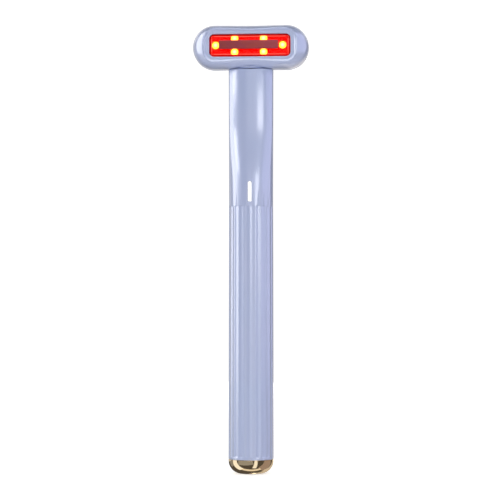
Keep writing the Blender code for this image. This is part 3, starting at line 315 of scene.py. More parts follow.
socket_low, socket_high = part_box("usb_socket")
button_low, button_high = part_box("power_button")
slot_low, slot_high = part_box("indicator_lens")
port_clearance = 0.3 * mm
landing_margin = 1.7 * mm
socket_recess = 0.15 * mm
landing_level = socket_high[1] + socket_recess
port_half_width = (socket_high[0] - socket_low[0]) / 2
port_half_length = (socket_high[2] - socket_low[2]) / 2
port_middle = (socket_high[2] + socket_low[2]) / 2
button_flange_lip = 0.9 * mm
button_half_width = (button_high[0] - button_low[0]) / 2 - button_flange_lip
button_half_length = (button_high[2] - button_low[2]) / 2 - button_flange_lip
button_middle = (button_high[2] + button_low[2]) / 2
slot_half_width = (slot_high[0] - slot_low[0]) / 2
slot_half_length = (slot_high[2] - slot_low[2]) / 2
slot_middle = (slot_high[2] + slot_low[2]) / 2
slot_foot_radius = 0.25 * mm
slot_clearance = 0.1 * mm
slot_steps = 10
slot_corner_share = 0.999
pill_steps = 16
pill_corner_share = 0.9999
past_skin = 1.5 * mm


def pill(half_width, half_length, middle, low, high):
    """An upright pill shape between two depths."""
    outline = rounded_outline(half_width, half_length, half_width * pill_corner_share, pill_steps)
    return skin([facing_y(outline, low, middle), facing_y(outline, high, middle)])


def slot_outline(grow):
    """The lit slot: a round top and a nearly square foot."""
    half_width, half_length = slot_half_width + grow, slot_half_length + grow
    top = rounded_outline(half_width, half_length, half_width * slot_corner_share, slot_steps)
    foot = rounded_outline(half_width, half_length, slot_foot_radius + grow, slot_steps)
    return [*top[:len(top) // 2], *foot[len(foot) // 2:]]


def relief_cutter():
    """A wedge that slopes the front of the neck's top, under the head's chin."""
    slope = relief_drop / (neck_radius - scoop_depth - relief_start)
    end = neck_radius + past_skin
    outline = [
        (-relief_start, neck_top), (-end, neck_top - slope * (end - relief_start)),
        (-end, neck_top + past_skin), (-relief_start, neck_top + past_skin),
    ]
    return skin([[(across, *point) for point in outline] for across in (-end, end)])


outside = foot_radius + past_skin
barrel = carve(skin(rings, loop=True), [
    pill(port_half_width + landing_margin, port_half_length + landing_margin, port_middle,
         landing_level, outside),
    pill(port_half_width + port_clearance, port_half_length + port_clearance, port_middle,
         bore_radius - past_skin, outside),
    pill(button_half_width + port_clearance, button_half_length + port_clearance, button_middle,
         bore_radius - past_skin, outside),
    skin([facing_y(slot_outline(slot_clearance), -outside, slot_middle),
          facing_y(slot_outline(slot_clearance), past_skin - bore_radius, slot_middle)]),
    relief_cutter(),
])

# Pearl lavender ABS: moulded satin plastic with a clear gloss over fine pearl flake. The eye
# sees soft broad reflections, and a colour that drifts a little between blue and violet.
flake_size = 0.35 * mm
flake_relief = 0.02 * mm
cloud_size = 22 * mm
pearl_lavender, tree, shader = start_material("pearl_lavender_abs")
place = add(tree, "TexCoord")
cloud = add(tree, "TexNoise", {"Vector": place.outputs["Object"], "Scale": 1 / cloud_size, "Detail": 2.0})
tint = add(tree, "Mix", {
    0: cloud.outputs["Fac"], 6: linear("#A8B8DE"), 7: linear("#B1BADF"),
}, data_type="RGBA")
flake = add(tree, "TexNoise", {"Vector": place.outputs["Object"], "Scale": 1 / flake_size, "Detail": 3.0})
roughness = add(tree, "MapRange", {"Value": flake.outputs["Fac"], "To Min": 0.24, "To Max": 0.36})
relief = add(tree, "Bump", {"Height": flake.outputs["Fac"], "Strength": 0.04, "Distance": flake_relief})
connect(tree, shader, {
    "Base Color": tint.outputs[2], "Roughness": roughness.outputs["Result"],
    "Normal": relief.outputs["Normal"], "IOR": 1.54, "Coat Weight": 1.0, "Coat Roughness": 0.16,
})
finish_piece("handle_barrel_skin", barrel, pearl_lavender, "handle", ["handle_barrel"])


# End cap
# A turned cap with a wide round edge, plated in polished champagne gold. A plug with a rubber
# ring holds it in the barrel's foot.

cap_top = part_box("end_cap")[1][2]
cap_seam = 0.06 * mm
cap_height = barrel_foot - cap_seam
cap_foot_radius = 3.5 * mm
cap_clearance = 0.3 * mm
cap_plug_radius = bore_radius - cap_clearance
cap_plug_length = 5.5 * mm
cap_bore_radius = 5.13 * mm
cap_floor = 1.4 * mm
cap_rim_round = 0.06 * mm
groove_share = 0.55
groove_middle = barrel_bottom - cap_clearance + cap_plug_length * groove_share
groove_half = 0.65 * mm
groove_depth = 1.0 * mm
cap_edge_steps = 20
cap_segments = 160

fillet = foot_radius - cap_foot_radius
profile = [
    (0, cap_floor), (cap_bore_radius - cap_floor, cap_floor), (cap_bore_radius, 2 * cap_floor),
    (cap_bore_radius, cap_top), (cap_plug_radius, cap_top),
    (cap_plug_radius, groove_middle + groove_half),
    (cap_plug_radius - groove_depth, groove_middle + groove_half),
    (cap_plug_radius - groove_depth, groove_middle - groove_half),
    (cap_plug_radius, groove_middle - groove_half),
    (cap_plug_radius, cap_height),
    (foot_radius - cap_rim_round, cap_height),
    (foot_radius, cap_height - cap_rim_round),
    *(
        (cap_foot_radius + fillet * math.cos(turn), fillet - fillet * math.sin(turn))
        for turn in quarter_turn(cap_edge_steps)
    ),
    (0, 0),
]
cap = bmesh.new()
corners = [cap.verts.new((radius, 0, height)) for radius, height in profile]
edges = [cap.edges.new(pair) for pair in zip(corners, corners[1:])]
bmesh.ops.spin(
    cap, geom=corners + edges, axis=(0, 0, 1), cent=(0, 0, 0), angle=2 * math.pi, steps=cap_segments,
    use_merge=True,
)
bmesh.ops.remove_doubles(cap, verts=cap.verts, dist=weld)
bmesh.ops.recalc_face_normals(cap, faces=cap.faces)

# Champagne-gold plating: polished metal that shows the room sharply, with a faint polishing haze.
haze_size = 3 * mm
champagne_gold, tree, shader = start_material("champagne_gold_plating")
place = add(tree, "TexCoord")
haze = add(tree, "TexNoise", {"Vector": place.outputs["Object"], "Scale": 1 / haze_size, "Detail": 4.0})
roughness = add(tree, "MapRange", {"Value": haze.outputs["Fac"], "To Min": 0.05, "To Max": 0.13})
tint = add(tree, "Mix", {
    0: haze.outputs["Fac"], 6: linear("#EDDFC2"), 7: linear("#E2CCA6"),
}, data_type="RGBA")
connect(tree, shader, {
    "Base Color": tint.outputs[2], "Roughness": roughness.outputs["Result"], "Metallic": 1.0,
})
finish_piece("end_cap_gold", cap, champagne_gold, "handle", ["end_cap"])


# Indicator light
# A clear acrylic bar pressed into the slot above the flutes, flush with the skin. The diode
# behind it lights it white from end to end.

guide_front = -math.sqrt(waist_radius ** 2 - slot_half_width ** 2)
guide_back = slot_high[1]
guide = skin([
    facing_y(slot_outline(0), guide_front, slot_middle), facing_y(slot_outline(0), guide_back, slot_middle),
])

# Clear acrylic, moulded and lit from inside: an even white glow with hardly any grain.
acrylic_grain = 0.8 * mm
lit_acrylic, tree, shader = start_material("lit_acrylic")
place = add(tree, "TexCoord")
grain = add(tree, "TexNoise", {"Vector": place.outputs["Object"], "Scale": 1 / acrylic_grain})
glow = add(tree, "MapRange", {"Value": grain.outputs["Fac"], "To Min": 0.3, "To Max": 0.4})
connect(tree, shader, {
    "Base Color": linear("#FBFCFF"), "Emission Color": linear("#FBFCFF"),
    "Emission Strength": glow.outputs["Result"], "Roughness": 0.2,
})
finish_piece("indicator_light", guide, lit_acrylic, "handle", ["indicator_lens"])


# Power button
# A pill-shaped key in the back of the handle, moulded in the barrel's lavender. It has a soft
# edge, a shallow hollow for the thumb, and a flange inside that keeps it in.

button_edge = 0.5 * mm
button_edge_steps = 8
hollow_depth = 0.18 * mm
hollow_steps = 6
hollow_run = button_half_width - 1.2 * button_edge
flange_thickness = 0.7 * mm
flange_inner = button_low[1]
flange_outer = flange_inner + flange_thickness
crown = button_high[1]


def pill_ring(grow, depth):
    """An upright pill outline round the button's middle."""
    half_width = button_half_width + grow
    outline = rounded_outline(
        half_width, button_half_length + grow, half_width * pill_corner_share, pill_steps
    )
    return facing_y(outline, depth, button_middle)


rings = [
    pill_ring(button_flange_lip, flange_inner), pill_ring(button_flange_lip, flange_outer),
    pill_ring(0, flange_outer),
]
for turn in quarter_turn(button_edge_steps):
    inset, drop = button_edge * (1 - math.cos(turn)), button_edge * (1 - math.sin(turn))
    rings.append(pill_ring(-inset, crown - drop))
for step in range(1, hollow_steps + 1):
    share = step / hollow_steps
    rings.append(pill_ring(
        -button_edge - share * hollow_run, crown - hollow_depth * math.sin(math.pi / 2 * share)
    ))
finish_piece("power_button_key", skin(rings), pearl_lavender, "button", ["power_button"])


# Head front shell
# The front half of the head, moulded in the same pearl lavender. Its sides roll forward into a
# soft lip, and inside the lip the face is dished down to the window.

shell_low, shell_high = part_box("head_front_shell")
head_half_width = shell_high[0]
head_bottom = shell_low[2]
head_top = shell_high[2]
head_middle = (head_top + head_bottom) / 2
head_half_height = (head_top - head_bottom) / 2
face_depth = -shell_low[1]
widest_front = 1.6 * mm
front_edge = 0.25 * mm
end_flat = 0.1 * mm
head_corner = head_half_height - end_flat
lip_half_width = 17.45 * mm
lip_half_height = 6.5 * mm
lip_corner = 4.95 * mm
side_waist = 0.13 * mm
lip_waist = 0.6 * mm
lip_turn = math.radians(60)
window_half_width = 15.2 * mm
window_half_height = 4.25 * mm
window_corner = 1.8 * mm
window_edge = 0.32 * mm
bezel_depth = 0.8 * mm
face_thickness = 1.4 * mm
wall = 1.4 * mm
tongue_inset = 0.86 * mm
tongue_reach = 1.0 * mm
least_corner = 0.2 * mm
corner_steps = 24
side_steps = 28


def head_outline(half_width, half_height, corner, waist):
    """A rounded rectangle whose long sides come in a little towards their middles."""
    points = rounded_outline(half_width, half_height, corner, corner_steps)
    half = len(points) // 2
    outline = []
    for start in (0, half):
        first, second = points[start + corner_steps], points[start + corner_steps + 1]
        side = []
        for step in range(1, side_steps):
            point = first.lerp(second, step / side_steps)
            pinch = waist * math.cos(math.pi / 2 * point.x / (half_width - corner)) ** 2
            side.append(Vector((point.x, point.y - math.copysign(pinch, point.y))))
        outline += points[start:start + corner_steps + 1]
        outline += side
        outline += points[start + corner_steps + 1:start + half]
    return outline


def head_ring(section):
    """A ring of the head from its depth, half sizes, corner radius and waist."""
    depth, half_width, half_height, corner, waist = section
    return facing_y(head_outline(half_width, half_height, corner, waist), depth, head_middle)


def rolled(turn):
    """The section of the head's side where it has rolled forward by an angle."""
    run = (face_depth - widest_front) / math.sin(lip_turn)
    share = (1 - math.cos(turn)) / (1 - math.cos(lip_turn))
    return Vector((
        -widest_front - run * math.sin(turn),
        head_half_width + (lip_half_width - head_half_width) * share,
        head_half_height + (lip_half_height - head_half_height) * share,
        head_corner + (lip_corner - head_corner) * share,
        side_waist + (lip_waist - side_waist) * share,
    ))


def window_section(depth, grow, waist=0.0):
    """A section round the window."""
    return Vector((
        depth, window_half_width + grow, window_half_height + grow, window_corner + grow, waist
    ))


def curve_between(start, control, end, steps):
    """Sections along a soft curve from one to another."""
    sections = []
    for step in range(1, steps + 1):
        share = step / steps
        sections.append((1 - share) ** 2 * start + 2 * share * (1 - share) * control + share ** 2 * end)
    return sections


def set_in(section, inset):
    """The same section, set in by a wall."""
    depth, half_width, half_height, corner, waist = section
    corner = max(corner - inset, least_corner)
    return Vector((depth, half_width - inset, half_height - inset, corner, waist))


crest_start = math.radians(47)
crest_lead = 0.02
crest_grow = 2.1 * mm
roll_steps = 16
wall_steps = 8
crest_steps = 12
crest_waist = 0.9 * lip_waist
side_start = Vector((front_edge, head_half_width, head_half_height, head_corner, side_waist))
sections = [side_start]
sections += [rolled(crest_start * step / roll_steps) for step in range(roll_steps + 1)]
before_crest, at_crest = rolled(crest_start - crest_lead), rolled(crest_start)
slope = (at_crest - before_crest) / (at_crest[0] - before_crest[0])
crest_control = at_crest + slope * (-face_depth - at_crest[0])
crest = window_section(-face_depth, crest_grow, crest_waist)
crest_control[1:3] = [max(pair) for pair in zip(crest_control[1:3], crest[1:3])]

# The dish falls from the crest at a slope and turns into a nearly flat floor round the window.
# The waist of its long sides fades out on the way.
dish_slope = math.tan(math.radians(34))
dish_depth = 0.52 * mm
dish_floor = dish_depth - face_depth
slope_start = 1.78 * mm
slope_start_depth = 0.1 * mm
slope_end_depth = 0.46 * mm
slope_overrun = 0.06 * mm
floor_turn_depth = 0.5 * mm
floor_start_depth = 0.51 * mm
floor_start_grow = 0.85 * mm
floor_end_grow = 1.2 * window_edge
top_waist = 0.85 * lip_waist
low_waist = 0.65 * lip_waist
floor_turn_waist = 0.6 * lip_waist
floor_start_waist = 0.45 * lip_waist
dish_steps = 8
floor_steps = 6
edge_steps = 8
slope_end = slope_start - (slope_end_depth - slope_start_depth) / dish_slope
floor_turn_grow = slope_end - slope_overrun / dish_slope
dish_turn = window_section(-face_depth, slope_start + slope_start_depth / dish_slope, crest_waist)
dish_top = window_section(slope_start_depth - face_depth, slope_start, top_waist)
dish_low = window_section(slope_end_depth - face_depth, slope_end, low_waist)
floor_turn = window_section(floor_turn_depth - face_depth, floor_turn_grow, floor_turn_waist)
floor_start = window_section(floor_start_depth - face_depth, floor_start_grow, floor_start_waist)
floor_end = window_section(dish_floor, floor_end_grow)
sections += curve_between(at_crest, crest_control, crest, crest_steps)
sections += curve_between(crest, dish_turn, dish_top, dish_steps)
sections += curve_between(dish_top, dish_top.lerp(dish_low, 0.5), dish_low, 2)
sections += curve_between(dish_low, floor_turn, floor_start, floor_steps)
rim_end = window_section(dish_floor + window_edge, 0)
sections.append(floor_end)
sections += curve_between(floor_end, window_section(dish_floor, 0), rim_end, edge_steps)
inner_level = bezel_depth - face_depth + face_thickness
sections.append(window_section(inner_level, 0))
inner_turn = math.asin((-inner_level - widest_front) / (face_depth - widest_front) * math.sin(lip_turn))
sections += [set_in(rolled(inner_turn * (1 - step / wall_steps)), wall) for step in range(wall_steps + 1)]
sections += [
    set_in(Vector((front_edge + tongue_reach, *side_start[1:])), wall),
    set_in(Vector((front_edge + tongue_reach, *side_start[1:])), tongue_inset),
    set_in(side_start, tongue_inset),
]
shaft_hole_radius = 2.6 * mm
seat_width = 16.4 * mm
seat_run = 2.5 * mm
seat_rise = 5 * mm


def shaft_cutter():
    """An upright rod where the swivel's shaft comes through the shells."""
    rod = bmesh.new()
    bmesh.ops.create_cone(
        rod, cap_ends=True, segments=48, radius1=shaft_hole_radius, radius2=shaft_hole_radius,
        depth=2 * head_half_height, matrix=Matrix.Translation((0, 0, head_bottom)),
    )
    return rod


def seat_cutter():
    """A block that clears the tongue where the rear shell's seat crosses it."""
    block = bmesh.new()
    bmesh.ops.create_cube(block, size=1.0)
    bmesh.ops.scale(block, vec=(seat_width, seat_run, seat_rise), verts=block.verts)
    bmesh.ops.translate(block, vec=(0, front_edge + seat_run / 2, head_bottom), verts=block.verts)
    return block


front_shell = carve(skin([head_ring(section) for section in sections], loop=True),
                    [shaft_cutter(), seat_cutter()])
finish_piece(
    "head_front_shell_skin", front_shell, pearl_lavender, "head", ["head_front_shell"]
)


# Head rear shell
# The back half of the head, moulded to match: a round-backed cup whose rim takes the front
# shell's tongue along a fine parting line.

head_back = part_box("head_rear_shell")[1][1]
widest_back = 0.8 * mm
rear_edge = 0.55 * mm
back_inset = 5.5 * mm
back_steps = 18
rebate_inset = 0.56 * mm
rebate_clearance = 0.3 * mm


def back_section(turn, inset=0.0):
    """A section of the round back, from its widest ring to the flat of its back."""
    shrink = back_inset * (1 - math.cos(turn))
    depth = widest_back + (head_back - widest_back) * math.sin(turn)
    return set_in(Vector((
        depth, head_half_width, head_half_height, head_corner, side_waist * math.cos(turn)
    )), shrink + inset)


sections = [back_section(math.pi / 2 * (1 - step / back_steps)) for step in range(back_steps + 1)]
rim = Vector((rear_edge, head_half_width, head_half_height, head_corner, side_waist))
rebate = front_edge + tongue_reach + rebate_clearance
rebate_end = Vector((rebate, *rim[1:]))
sections += [rim, set_in(rim, rebate_inset), set_in(rebate_end, rebate_inset), set_in(rebate_end, wall)]
inner_back = head_back - wall
for turn in quarter_turn(back_steps)[1:-1]:
    section = back_section(turn, wall)
    if rebate < section[0] < inner_back:
        sections.append(section)
last = sections[-1].copy()
last[0] = inner_back
sections.append(last)
rear_shell = carve(skin([head_ring(section) for section in sections]), [shaft_cutter()])
finish_piece(
    "head_rear_shell_skin", rear_shell, pearl_lavender, "head", ["head_rear_shell"]
)


# Head collar
# A shallow ring moulded below the two shells round the swivel. It fills the wedge between the
# head's round belly and the flat top of the neck.

collar_hole_radius = 4.75 * mm
collar_foot_radius = 5.35 * mm
collar_top_radius = 6.15 * mm
collar_slope = math.tan(math.radians(39))
collar_gap_share = 0.4
collar_tuck = 0.3 * mm
collar_tuck_rise = 0.2 * mm
foot_chamfer_run = 0.1 * mm
foot_chamfer_rise = 0.04 * mm
collar_segments = 96
collar_bottom = neck_top + seam_gap * collar_gap_share
collar_shoulder = collar_bottom + (collar_top_radius - collar_foot_radius) * collar_slope
collar_top = collar_shoulder + collar_tuck_rise
profile = [
    (collar_hole_radius, collar_bottom),
    (collar_foot_radius - foot_chamfer_run, collar_bottom),
    (collar_foot_radius, collar_bottom + foot_chamfer_rise),
    (collar_top_radius, collar_shoulder),
    (collar_top_radius - collar_tuck, collar_top),
    (collar_hole_radius, collar_top),
]


def turned(profile, segments, loop=False):
    """A skin round the Z axis through radii and heights."""
    around = [2 * math.pi * step / segments for step in range(segments)]
    return skin([
        [(radius * math.cos(angle), radius * math.sin(angle), height) for angle in around]
        for radius, height in profile
    ], loop)


collar = turned(profile, collar_segments, loop=True)
finish_piece("head_collar", collar, pearl_lavender, "head")


# Window
# A clear red acrylic lens, moulded and polished, with a bevel round its front edge. A flange
# holds it from behind, and two holes let the contact plate's studs through.

lens_front, lens_back = (corner[1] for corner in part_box("window_lens"))
lens_gap = 0.1 * mm
lens_bevel_width = 0.7 * mm
lens_bevel_height = 0.35 * mm
lens_line = 0.14 * mm
bevel_bow = 0.75
bevel_steps = 6
lens_flange_lip = 0.8 * mm
lens_flange_thickness = 0.8 * mm
lens_flange_front = lens_back - lens_flange_thickness
lens_least_corner = 1.0 * mm
sections = [
    window_section(lens_back, lens_flange_lip), window_section(lens_flange_front, lens_flange_lip),
    window_section(lens_flange_front, -lens_gap), window_section(lens_front + lens_bevel_height, -lens_gap),
]
sections += curve_between(
    sections[-1], window_section(lens_front, -lens_gap - bevel_bow * lens_bevel_width),
    window_section(lens_front, -lens_gap - lens_bevel_width), bevel_steps,
)
sections += [
    window_section(lens_front, -lens_gap - lens_bevel_width - lens_line),
    window_section(lens_front, -lens_gap - lens_bevel_width - 2 * lens_line),
]
for section in sections[3:]:
    section[3] = max(section[3], lens_least_corner)
stud_hole_radius = 0.8 * mm
stud_offset = 9.3 * mm


def rods_along_y(places, radius, low, high):
    """A cutter of round rods along Y, which reach past both depths."""
    rods = bmesh.new()
    lying = Matrix.Rotation(math.pi / 2, 4, "X")
    for across, up in places:
        bmesh.ops.create_cone(
            rods, cap_ends=True, segments=32, radius1=radius, radius2=radius,
            depth=high - low + 2 * past_skin,
            matrix=Matrix.Translation((across, (low + high) / 2, up)) @ lying,
        )
    return rods


studs = [(side * stud_offset, head_middle) for side in (-1, 1)]
lens = carve(skin([head_ring(section) for section in sections]),
             [rods_along_y(studs, stud_hole_radius, lens_front, lens_back)])

# Clear red acrylic: polished, almost mirror-smooth. Its bevel has a painted deeper red and is less clear,
# standing for the longer path of light through it, and the bevel's inner edge has a painted highlight:
# a fine glowing line.
polish_wave = 6 * mm
painted_highlight_glow = 0.8
red_acrylic, tree, shader = start_material("clear_red_acrylic")
# Painted shade: the bevel is tinted a deeper red and made less clear. Painted highlight: the line inside it
# glows.
bevel = add(tree, "Attribute", attribute_name="bevel")
line = add(tree, "Attribute", attribute_name="painted_highlight_line")
tint = add(tree, "Mix", {
    0: bevel.outputs["Fac"], 6: linear("#FFC0B4"), 7: linear("#E01408"),
}, data_type="RGBA")
place = add(tree, "TexCoord")
wave = add(tree, "TexNoise", {"Vector": place.outputs["Object"], "Scale": 1 / polish_wave})
roughness = add(tree, "MapRange", {"Value": wave.outputs["Fac"], "To Min": 0.02, "To Max": 0.06})
painted_glint = add(tree, "Math", {0: line.outputs["Fac"], 1: painted_highlight_glow}, operation="MULTIPLY")
clear = add(tree, "MapRange", {"Value": bevel.outputs["Fac"], "To Min": 1.0, "To Max": 0.05})
connect(tree, shader, {
    "Base Color": tint.outputs[2], "Roughness": roughness.outputs["Result"],
    "Emission Color": linear("#FF8A78"), "Emission Strength": painted_glint.outputs["Value"],
    "Transmission Weight": clear.outputs["Result"], "IOR": 1.15,
})
lens_piece = finish_piece("window_red_lens", lens, red_acrylic, "head", ["window_lens"])

# The bevel with its painted deeper red and the painted highlight line inside it are marked on the
# lens's own points, for its material.
close = 0.01 * mm
bevel_mark = lens_piece.data.attributes.new("bevel", "FLOAT", "POINT")
painted_highlight_mark = lens_piece.data.attributes.new("painted_highlight_line", "FLOAT", "POINT")
for number, vert in enumerate(lens_piece.data.vertices):
    inset = min(window_half_width - abs(vert.co.x), window_half_height - abs(vert.co.z - head_middle))
    on_bevel = vert.co.y < lens_flange_front and inset < lens_gap + lens_bevel_width - close
    on_painted_highlight = abs(inset - lens_gap - lens_bevel_width - lens_line) < close
    bevel_mark.data[number].value = 1.0 if on_bevel else 0.0
    painted_highlight_mark.data[number].value = 1.0 if on_painted_highlight else 0.0


# Reflector
# A plate moulded in bright red plastic behind the lens. The diodes stand in its six holes, and their
# light on it is a painted glow. They and the contact plate sit a little left of the window's middle,
# and above it.

reflector_low, reflector_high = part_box("reflector_plate")
reflector_corner = 1.8 * mm
led_hole_radius = 1.65 * mm
lamp_shift = 0.5 * mm
lamp_lift = 0.27 * mm
led_names = [
    "led_left", "led_right", "led_upper_left", "led_upper_right", "led_lower_left", "led_lower_right",
]
led_places = []
for name in led_names:
    low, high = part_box(name)
    led_places.append(((low[0] + high[0]) / 2 - lamp_shift, (low[2] + high[2]) / 2 + lamp_lift))
outline = rounded_outline(
    reflector_high[0], (reflector_high[2] - reflector_low[2]) / 2, reflector_corner, 12
)
reflector = carve(skin([
    facing_y(outline, reflector_low[1], head_middle), facing_y(outline, reflector_high[1], head_middle),
]), [
    rods_along_y(led_places, led_hole_radius, reflector_low[1], reflector_high[1]),
    rods_along_y(studs, stud_hole_radius, reflector_low[1], reflector_high[1]),
])

# Red polycarbonate, moulded matt, with a painted glow: the diodes' light spreading in it is painted on
# as red emission all over, in soft, slightly uneven patches.
patch_size = 1.5 * mm
painted_glow_red, tree, shader = start_material("red_reflector_with_painted_glow")
place = add(tree, "TexCoord")
grain = add(tree, "TexNoise", {"Vector": place.outputs["Object"], "Scale": 1 / patch_size})
# Painted glow: red emission all over the plate.
glow = add(tree, "MapRange", {"Value": grain.outputs["Fac"], "To Min": 0.4, "To Max": 0.5})
connect(tree, shader, {
    "Base Color": linear("#E00800"), "Emission Color": linear("#FF0000"),
    "Emission Strength": glow.outputs["Result"], "Roughness": 0.5, "Specular IOR Level": 0.05,
})
finish_piece("reflector_red", reflector, painted_glow_red, "head", ["reflector_plate"])


# Diodes
# Six light-emitting diodes: clear epoxy domes cast on square bases, which are soldered to the
# board and stand in the reflector's holes.

led_radius = 1.35 * mm
led_tip, led_back = (corner[1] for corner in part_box("led_left"))
led_base_half = 1.5 * mm
led_base_corner = 0.3 * mm
led_base_height = 0.7 * mm
led_base_front = led_back - led_base_height
led_dome_height = led_base_front - led_tip
led_dome_start = 0.1 * mm
dome_steps = 12
dome_end_share = 0.995

# Clear cast epoxy, lit from inside: the dome glows yellow, with a paler core over its chip.
dome_epoxy, tree, shader = start_material("glowing_epoxy_dome")
core = add(tree, "Attribute", attribute_name="core")
colour = add(tree, "Mix", {
    0: core.outputs["Fac"], 6: linear("#FFF83C"), 7: linear("#FFFFB0"),
}, data_type="RGBA")
strength = add(tree, "MapRange", {"Value": core.outputs["Fac"], "To Min": 2.8, "To Max": 4.0})
lit = add(tree, "Attribute", attribute_name="dome")
glow = add(tree, "Math", {
    0: strength.outputs["Result"], 1: lit.outputs["Fac"],
}, operation="MULTIPLY")
connect(tree, shader, {
    "Base Color": linear("#FFE880"), "Emission Color": colour.outputs[2],
    "Emission Strength": glow.outputs["Value"], "Roughness": 0.15,
})

for name, (across, up) in zip(led_names, led_places):
    base = [(across + point[0], up + point[1]) for point in rounded_outline(
        led_base_half, led_base_half, led_base_corner, 6
    )]
    around = [2 * math.pi * step / len(base) for step in range(len(base))]
    rings = [[(x, depth, z) for x, z in base] for depth in (led_back, led_base_front)]
    for step in range(dome_steps + 1):
        turn = math.pi / 2 * min(step / dome_steps, dome_end_share)
        radius, depth = led_radius * math.cos(turn), led_base_front - led_dome_height * math.sin(turn)
        rings.append([
            (across + radius * math.cos(angle), depth, up + radius * math.sin(angle)) for angle in around
        ])
    led = finish_piece(f"{name}_dome", skin(rings), dome_epoxy, "head", [name])
    core_mark = led.data.attributes.new("core", "FLOAT", "POINT")
    dome_mark = led.data.attributes.new("dome", "FLOAT", "POINT")
    for number, vert in enumerate(led.data.vertices):
        away = math.hypot(vert.co.x - across, vert.co.z - up) / led_radius
        lifted = vert.co.y < led_base_front - led_dome_start
        core_mark.data[number].value = max(0.0, 1.0 - away ** 2) ** 3 if lifted else 0.0
        dome_mark.data[number].value = 1.0 if lifted else 0.0


# Contact plate
# A flat bar of stainless steel on the window. Two studs behind it go through the window to the
# board. They don't show, so only the CAD model has them.

plate_low, plate_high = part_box("contact_plate")
plate_spread = 0.18 * mm
plate_half_length = plate_high[0] + plate_spread
plate_half_height = (plate_high[2] - plate_low[2]) / 2 + plate_spread
plate_front = plate_low[1]
plate_thickness = 0.45 * mm
plate_corner = 0.35 * mm
plate_round = 0.12 * mm
round_middle = 0.3 * plate_round
outlines = [
    (0, plate_front + plate_thickness), (0, plate_front + plate_round),
    (-round_middle, plate_front + round_middle), (-plate_round, plate_front),
]
plate = skin([
    facing_y([
        (across - lamp_shift, up) for across, up in
        rounded_outline(plate_half_length + grow, plate_half_height + grow, plate_corner, 8)
    ], depth, head_middle + lamp_lift)
    for grow, depth in outlines
])

# Stainless steel, brushed along its length: a satin sheen with fine lines. Its red-brown colour is a
# painted reflection of the red light round it, in faint blotches.
brush_pitch = 0.12 * mm
brush_stretch = 0.06
brush_relief = 0.02 * mm
blotch_size = 3 * mm
brushed_steel, tree, shader = start_material("brushed_stainless_painted_red_reflection")
place = add(tree, "TexCoord")
stretch = add(tree, "Mapping", {"Vector": place.outputs["Object"], "Scale": (brush_stretch, 1.0, 1.0)})
brushing = add(tree, "TexNoise", {
    "Vector": stretch.outputs["Vector"], "Scale": 1 / brush_pitch, "Detail": 4.0,
})
blotch = add(tree, "TexNoise", {"Vector": place.outputs["Object"], "Scale": 1 / blotch_size})
# Painted reflection: the red-brown shades stand for the red light round the plate.
tint = add(tree, "Mix", {
    0: blotch.outputs["Fac"], 6: linear("#86304A"), 7: linear("#9A3E30"),
}, data_type="RGBA")
roughness = add(tree, "MapRange", {"Value": brushing.outputs["Fac"], "To Min": 0.35, "To Max": 0.55})
relief = add(tree, "Bump", {"Height": brushing.outputs["Fac"], "Strength": 0.2, "Distance": brush_relief})
connect(tree, shader, {
    "Base Color": tint.outputs[2], "Roughness": roughness.outputs["Result"],
    "Normal": relief.outputs["Normal"], "Metallic": 0.5,
})
finish_piece("contact_plate_bar", plate, brushed_steel, "head", ["contact_plate"])


# Inner parts
# The boards, cell, leads, swivel parts and motor keep their shapes from the frame. Each gets the
# finish of its real material: laminate, moulded plastic, drawn or turned metal, rubber or sleeve.

def grained(name, shades, grain, roughness, stretch=(1, 1, 1), bump=0.1, metallic=0.0):
    """A material whose shade, roughness and relief all follow one grain of a real size."""
    material, tree, shader = start_material(name)
    place = add(tree, "TexCoord")
    laid = add(tree, "Mapping", {"Vector": place.outputs["Object"], "Scale": stretch})
    grains = add(tree, "TexNoise", {"Vector": laid.outputs["Vector"], "Scale": 1 / grain, "Detail": 3.0})
    tint = add(tree, "Mix", {
        0: grains.outputs["Fac"], 6: linear(shades[0]), 7: linear(shades[1]),
    }, data_type="RGBA")
    rough = add(tree, "MapRange", {
        "Value": grains.outputs["Fac"], "To Min": roughness[0], "To Max": roughness[1],
    })
    relief = add(tree, "Bump", {
        "Height": grains.outputs["Fac"], "Strength": bump, "Distance": grain / 10,
    })
    connect(tree, shader, {
        "Base Color": tint.outputs[2], "Roughness": rough.outputs["Result"],
        "Normal": relief.outputs["Normal"], "Metallic": metallic,
    })
    return material


def dress(material, *names):
    """Give carried-over CAD nodes their material."""
    for name in names:
        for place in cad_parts[name].material_slots:
            place.material = material


# Solder-masked glass laminate: glossy green over woven glass, whose yarns show as a fine square
# weave, with paler lines where the copper tracks lie under the mask. At scale 1 the wave texture
# repeats every tenth of pi, in metres.
yarn = 0.6 * mm
yarn_relief = 0.02 * mm
track_pitch = 1.1 * mm
track_width = 0.14 * mm
wave_scale = math.pi / 10 / yarn
solder_mask, tree, shader = start_material("green_solder_mask_on_laminate")
place = add(tree, "TexCoord")
face = add(tree, "Mapping", {"Vector": place.outputs["Object"], "Rotation": (math.pi / 2, 0, 0)})
warp, weft = (
    add(tree, "TexWave", {
        "Vector": face.outputs["Vector"], "Scale": wave_scale,
    }, bands_direction=direction)
    for direction in "XY"
)
weave = add(tree, "Math", {
    0: warp.outputs["Fac"], 1: weft.outputs["Fac"],
}, operation="MULTIPLY")
tracks = add(tree, "TexBrick", {
    "Vector": face.outputs["Vector"], "Scale": 1.0,
    "Brick Width": 4 * track_pitch, "Row Height": track_pitch,
    "Mortar Size": track_width, "Mortar Smooth": 0.1,
    "Color1": linear("#0F5A30"), "Color2": linear("#115E33"), "Mortar": linear("#2C8C50"),
})
tint = add(tree, "Mix", {
    0: weave.outputs["Value"], 6: tracks.outputs["Color"], 7: linear("#1A6E3C"),
}, data_type="RGBA")
